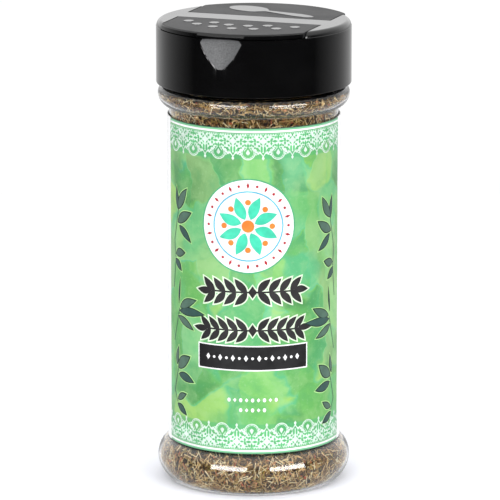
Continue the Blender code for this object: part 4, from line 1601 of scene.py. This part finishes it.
    def web(self, finish: Material) -> Piece:
        """The thin web that joins the flap to the bar and bends when it opens.

        Args:
            finish: its material.

        Returns:
            The web.
        """
        cap, s = self.cap, self.side.value
        near, far = sorted((s * (cap.bar_half - self.web_lap), s * (self.start + self.web_lap)))
        half, high = self.half_width - 0.3 * MM, cap.top - 0.1 * MM
        bm = box((-half, near, high - self.web_depth), (half, far, high))
        across = [e for e in bm.edges if abs(e.verts[0].co.y - e.verts[1].co.y) > 0.1 * MM]
        bmesh.ops.subdivide_edges(bm, edges=across, cuts=6, use_grid_fill=True)
        piece = finished(f"{self.body_name()}_web", cap.turned(bm), finish)
        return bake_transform(piece)


@dataclass
class Studio:
    """The room of the photograph: a white table, two wide lamps in front, and a dark room behind the camera."""

    distance: float = 1.3025
    height: float = 0.3574
    pitch: float = math.radians(12.492)
    yaw: float = 3.9 / 4490.2
    sensor: float = 36.0
    lens: float = 4490.2 / 500 * 36
    table_radius: float = 0.42
    table_drop: float = 0.1 * MM
    wall_light: float = 0.8
    wall_rise: float = 1.7
    ceiling_light: float = 1.15
    backdrop: Colour = (1.02, 1.02, 1.02)
    lamp_power: float = 17.5
    lamp_rise: float = 14.5
    lamp_distance: float = 1.4
    lamp_aim: float = 0.06

    def camera(self) -> None:
        """Place the camera where the photograph was taken from."""
        data = bpy.data.cameras.new("camera")
        data.lens, data.sensor_width = self.lens, self.sensor
        data.clip_start, data.clip_end = 0.05, 50
        camera = bpy.data.objects.new("camera", data)
        bpy.context.scene.collection.objects.link(camera)
        camera.location = (0, -self.distance, self.height)
        camera.rotation_euler = (math.pi / 2 - self.pitch, 0, self.yaw)
        bpy.context.scene.camera = camera

    def lamp(self, name: str, azimuth: float, size: Pair) -> None:
        """Place an area lamp round the jar.

        Args:
            name: its name.
            azimuth: its direction in degrees, 0 in front and positive to the right.
            size: its width and height.
        """
        data = bpy.data.lights.new(name, "AREA")
        data.shape, data.size, data.size_y, data.energy = "RECTANGLE", *size, self.lamp_power
        lamp = bpy.data.objects.new(name, data)
        bpy.context.scene.collection.objects.link(lamp)
        a, e = math.radians(azimuth), math.radians(self.lamp_rise)
        away = Vector((math.sin(a) * math.cos(e), -math.cos(a) * math.cos(e), math.sin(e)))
        lamp.location = Vector((0, 0, self.lamp_aim)) + away * self.lamp_distance
        lamp.rotation_euler = away.to_track_quat("Z", "Y").to_euler()

    def table(self) -> None:
        """Lay the round white table, which mirrors leave out."""
        bm = bmesh.new()
        place = Matrix.Translation((0, 0, -self.table_drop))
        bmesh.ops.create_circle(bm, cap_ends=True, radius=self.table_radius, segments=128, matrix=place)
        sheet = NodeSheet("table_white")
        mottle = sheet.noise(3.0, 2.0, Vector=sheet.place())
        white = sheet.ramp(mottle, [(0.3, (0.86, 0.875, 0.93)), (0.7, (0.89, 0.905, 0.96))])
        sheet.dress(Base_Color=white, Roughness=0.9)
        table = finished("table", bm, sheet.material)
        table.visible_glossy = False
        table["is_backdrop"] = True

    def world(self) -> None:
        """Light the room: white behind, bright above, and dark in front where the camera stands."""
        world = bpy.data.worlds.new("room")
        bpy.context.scene.world = world
        sheet = NodeSheet("room", world)
        axes = sheet.add("SeparateXYZ", Vector=sheet.add("TexCoord").outputs["Generated"]).outputs
        around = sheet.span(axes["Y"], (-0.25, 0.75), (0.02, self.wall_light))
        higher = sheet.span(axes["Z"], (-0.04, 0.08), (1.0, self.wall_rise))
        wall = sheet.add("Math", around, higher, operation="MULTIPLY").outputs[0]
        above = sheet.span(axes["Z"], (0.3, 0.6), (0.0, 1.0))
        room = sheet.blend(above, wall, (self.ceiling_light,) * 3)
        seen = sheet.add("LightPath").outputs["Is Camera Ray"]
        sheet.dress(Color=sheet.blend(seen, room, self.backdrop))

    def build(self) -> None:
        """Set up the whole room."""
        self.camera()
        self.table()
        self.world()
        bpy.context.scene.view_settings.view_transform = "Standard"
        self.lamp("front_left_lamp", -31, (1.12, 0.44))
        self.lamp("front_right_lamp", 42, (1.14, 0.44))


def main() -> None:
    """Build and dress every piece."""
    logging.basicConfig(level=logging.INFO, format="%(message)s")
    Studio().build()

    jar = ClearJar()
    log.info("jar: %s", jar.build(ClearPlastic().make()).name)

    tones = {
        Bit.LEAF: (
            (0.0, (0.02, 0.008, 0.002)),
            (0.3, (0.10, 0.042, 0.008)),
            (0.55, (0.42, 0.225, 0.06)),
            (0.72, (0.27, 0.21, 0.035)),
            (0.9, (0.92, 0.63, 0.27)),
            (1.0, (0.52, 0.08, 0.04)),
        ),
        Bit.STALK: (
            (0.0, (0.18, 0.08, 0.02)),
            (0.35, (0.52, 0.30, 0.095)),
            (0.7, (0.93, 0.69, 0.34)),
            (1.0, (1.0, 0.92, 0.62)),
        ),
        Bit.CRUMB: (
            (0.0, (0.012, 0.006, 0.002)),
            (0.45, (0.11, 0.042, 0.009)),
            (0.8, (0.44, 0.225, 0.06)),
            (1.0, (0.66, 0.12, 0.05)),
        ),
    }
    bits = {kind: DriedHerb(f"dried_{kind.name.lower()}", stops).make() for kind, stops in tones.items()}
    # The heap's near-black brown is painted shade: it stands for the shade deep between and behind the bits.
    heap = DriedHerb("thyme_heap", ((0.0, (0.018, 0.008, 0.002)), (1.0, (0.06, 0.028, 0.007)))).make()
    for piece in ThymeFill(jar).build(heap, bits):
        log.info("thyme: %s", piece.name)

    label = WrapLabel()
    wash = PrintedWash(label.half_front, label.front_shift, label.low, label.high, 9.2 * MM).make()
    inks = {
        "white": (0.66, 0.665, 0.66),
        "lace": (0.50, 0.60, 0.53),
        "gap": (0.07, 0.34, 0.12),
        "slate": (0.022, 0.062, 0.055),
        "moss": (0.055, 0.11, 0.08),
        "deep": (0.004, 0.018, 0.014),
        "halo": (0.30, 0.53, 0.20),
        "pale": (0.52, 0.63, 0.47),
        "dark": (0.014, 0.0125, 0.014),
        "black": (0.006, 0.006, 0.007),
        "rim": (0.05, 0.29, 0.13),
        "mint": (0.03, 0.44, 0.28),
        "blue": (0.06, 0.33, 0.47),
        "red": (0.33, 0.007, 0.017),
        "orange": (0.62, 0.155, 0.012),
    }
    finishes = {name: Ink(f"ink_{name}", colour).make() for name, colour in inks.items()}
    for piece in label.build(wash, finishes):
        log.info("label: %s", piece.name)

    cap = ShakerCap()
    cap_finish = BlackPlastic(
        "black_plastic",
        grain_below=cap.deck_top - 0.1 * MM,
        grain_inside=cap.radius - 0.15 * MM,
        # The light grey on the cap's grained thumb scoops is painted sheen: it stands in for the ceiling's
        # reflection in them.
        grain_tone_and_painted_sheen=(0.075, 0.076, 0.078),
    ).make()
    log.info("cap: %s", cap.build(cap_finish).name)
    flap_finish = BlackPlastic(
        "grained_black_plastic", grain_below=cap.top + 0.05 * MM, grain_inside=cap.radius - 0.3 * MM
    ).make()
    for side in Side:
        flap = CapFlap(cap, side)
        log.info("cap: %s, %s", flap.build(flap_finish).name, flap.web(flap_finish).name)

    low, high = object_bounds()
    grown = [round(1000 * (b - a), 2) for a, b in zip(BOX_HIGH - BOX_LOW, high - low)]
    log.info("size: the visual model is %s mm larger than the packed one", grown)


if __name__ == "__main__":
    main()
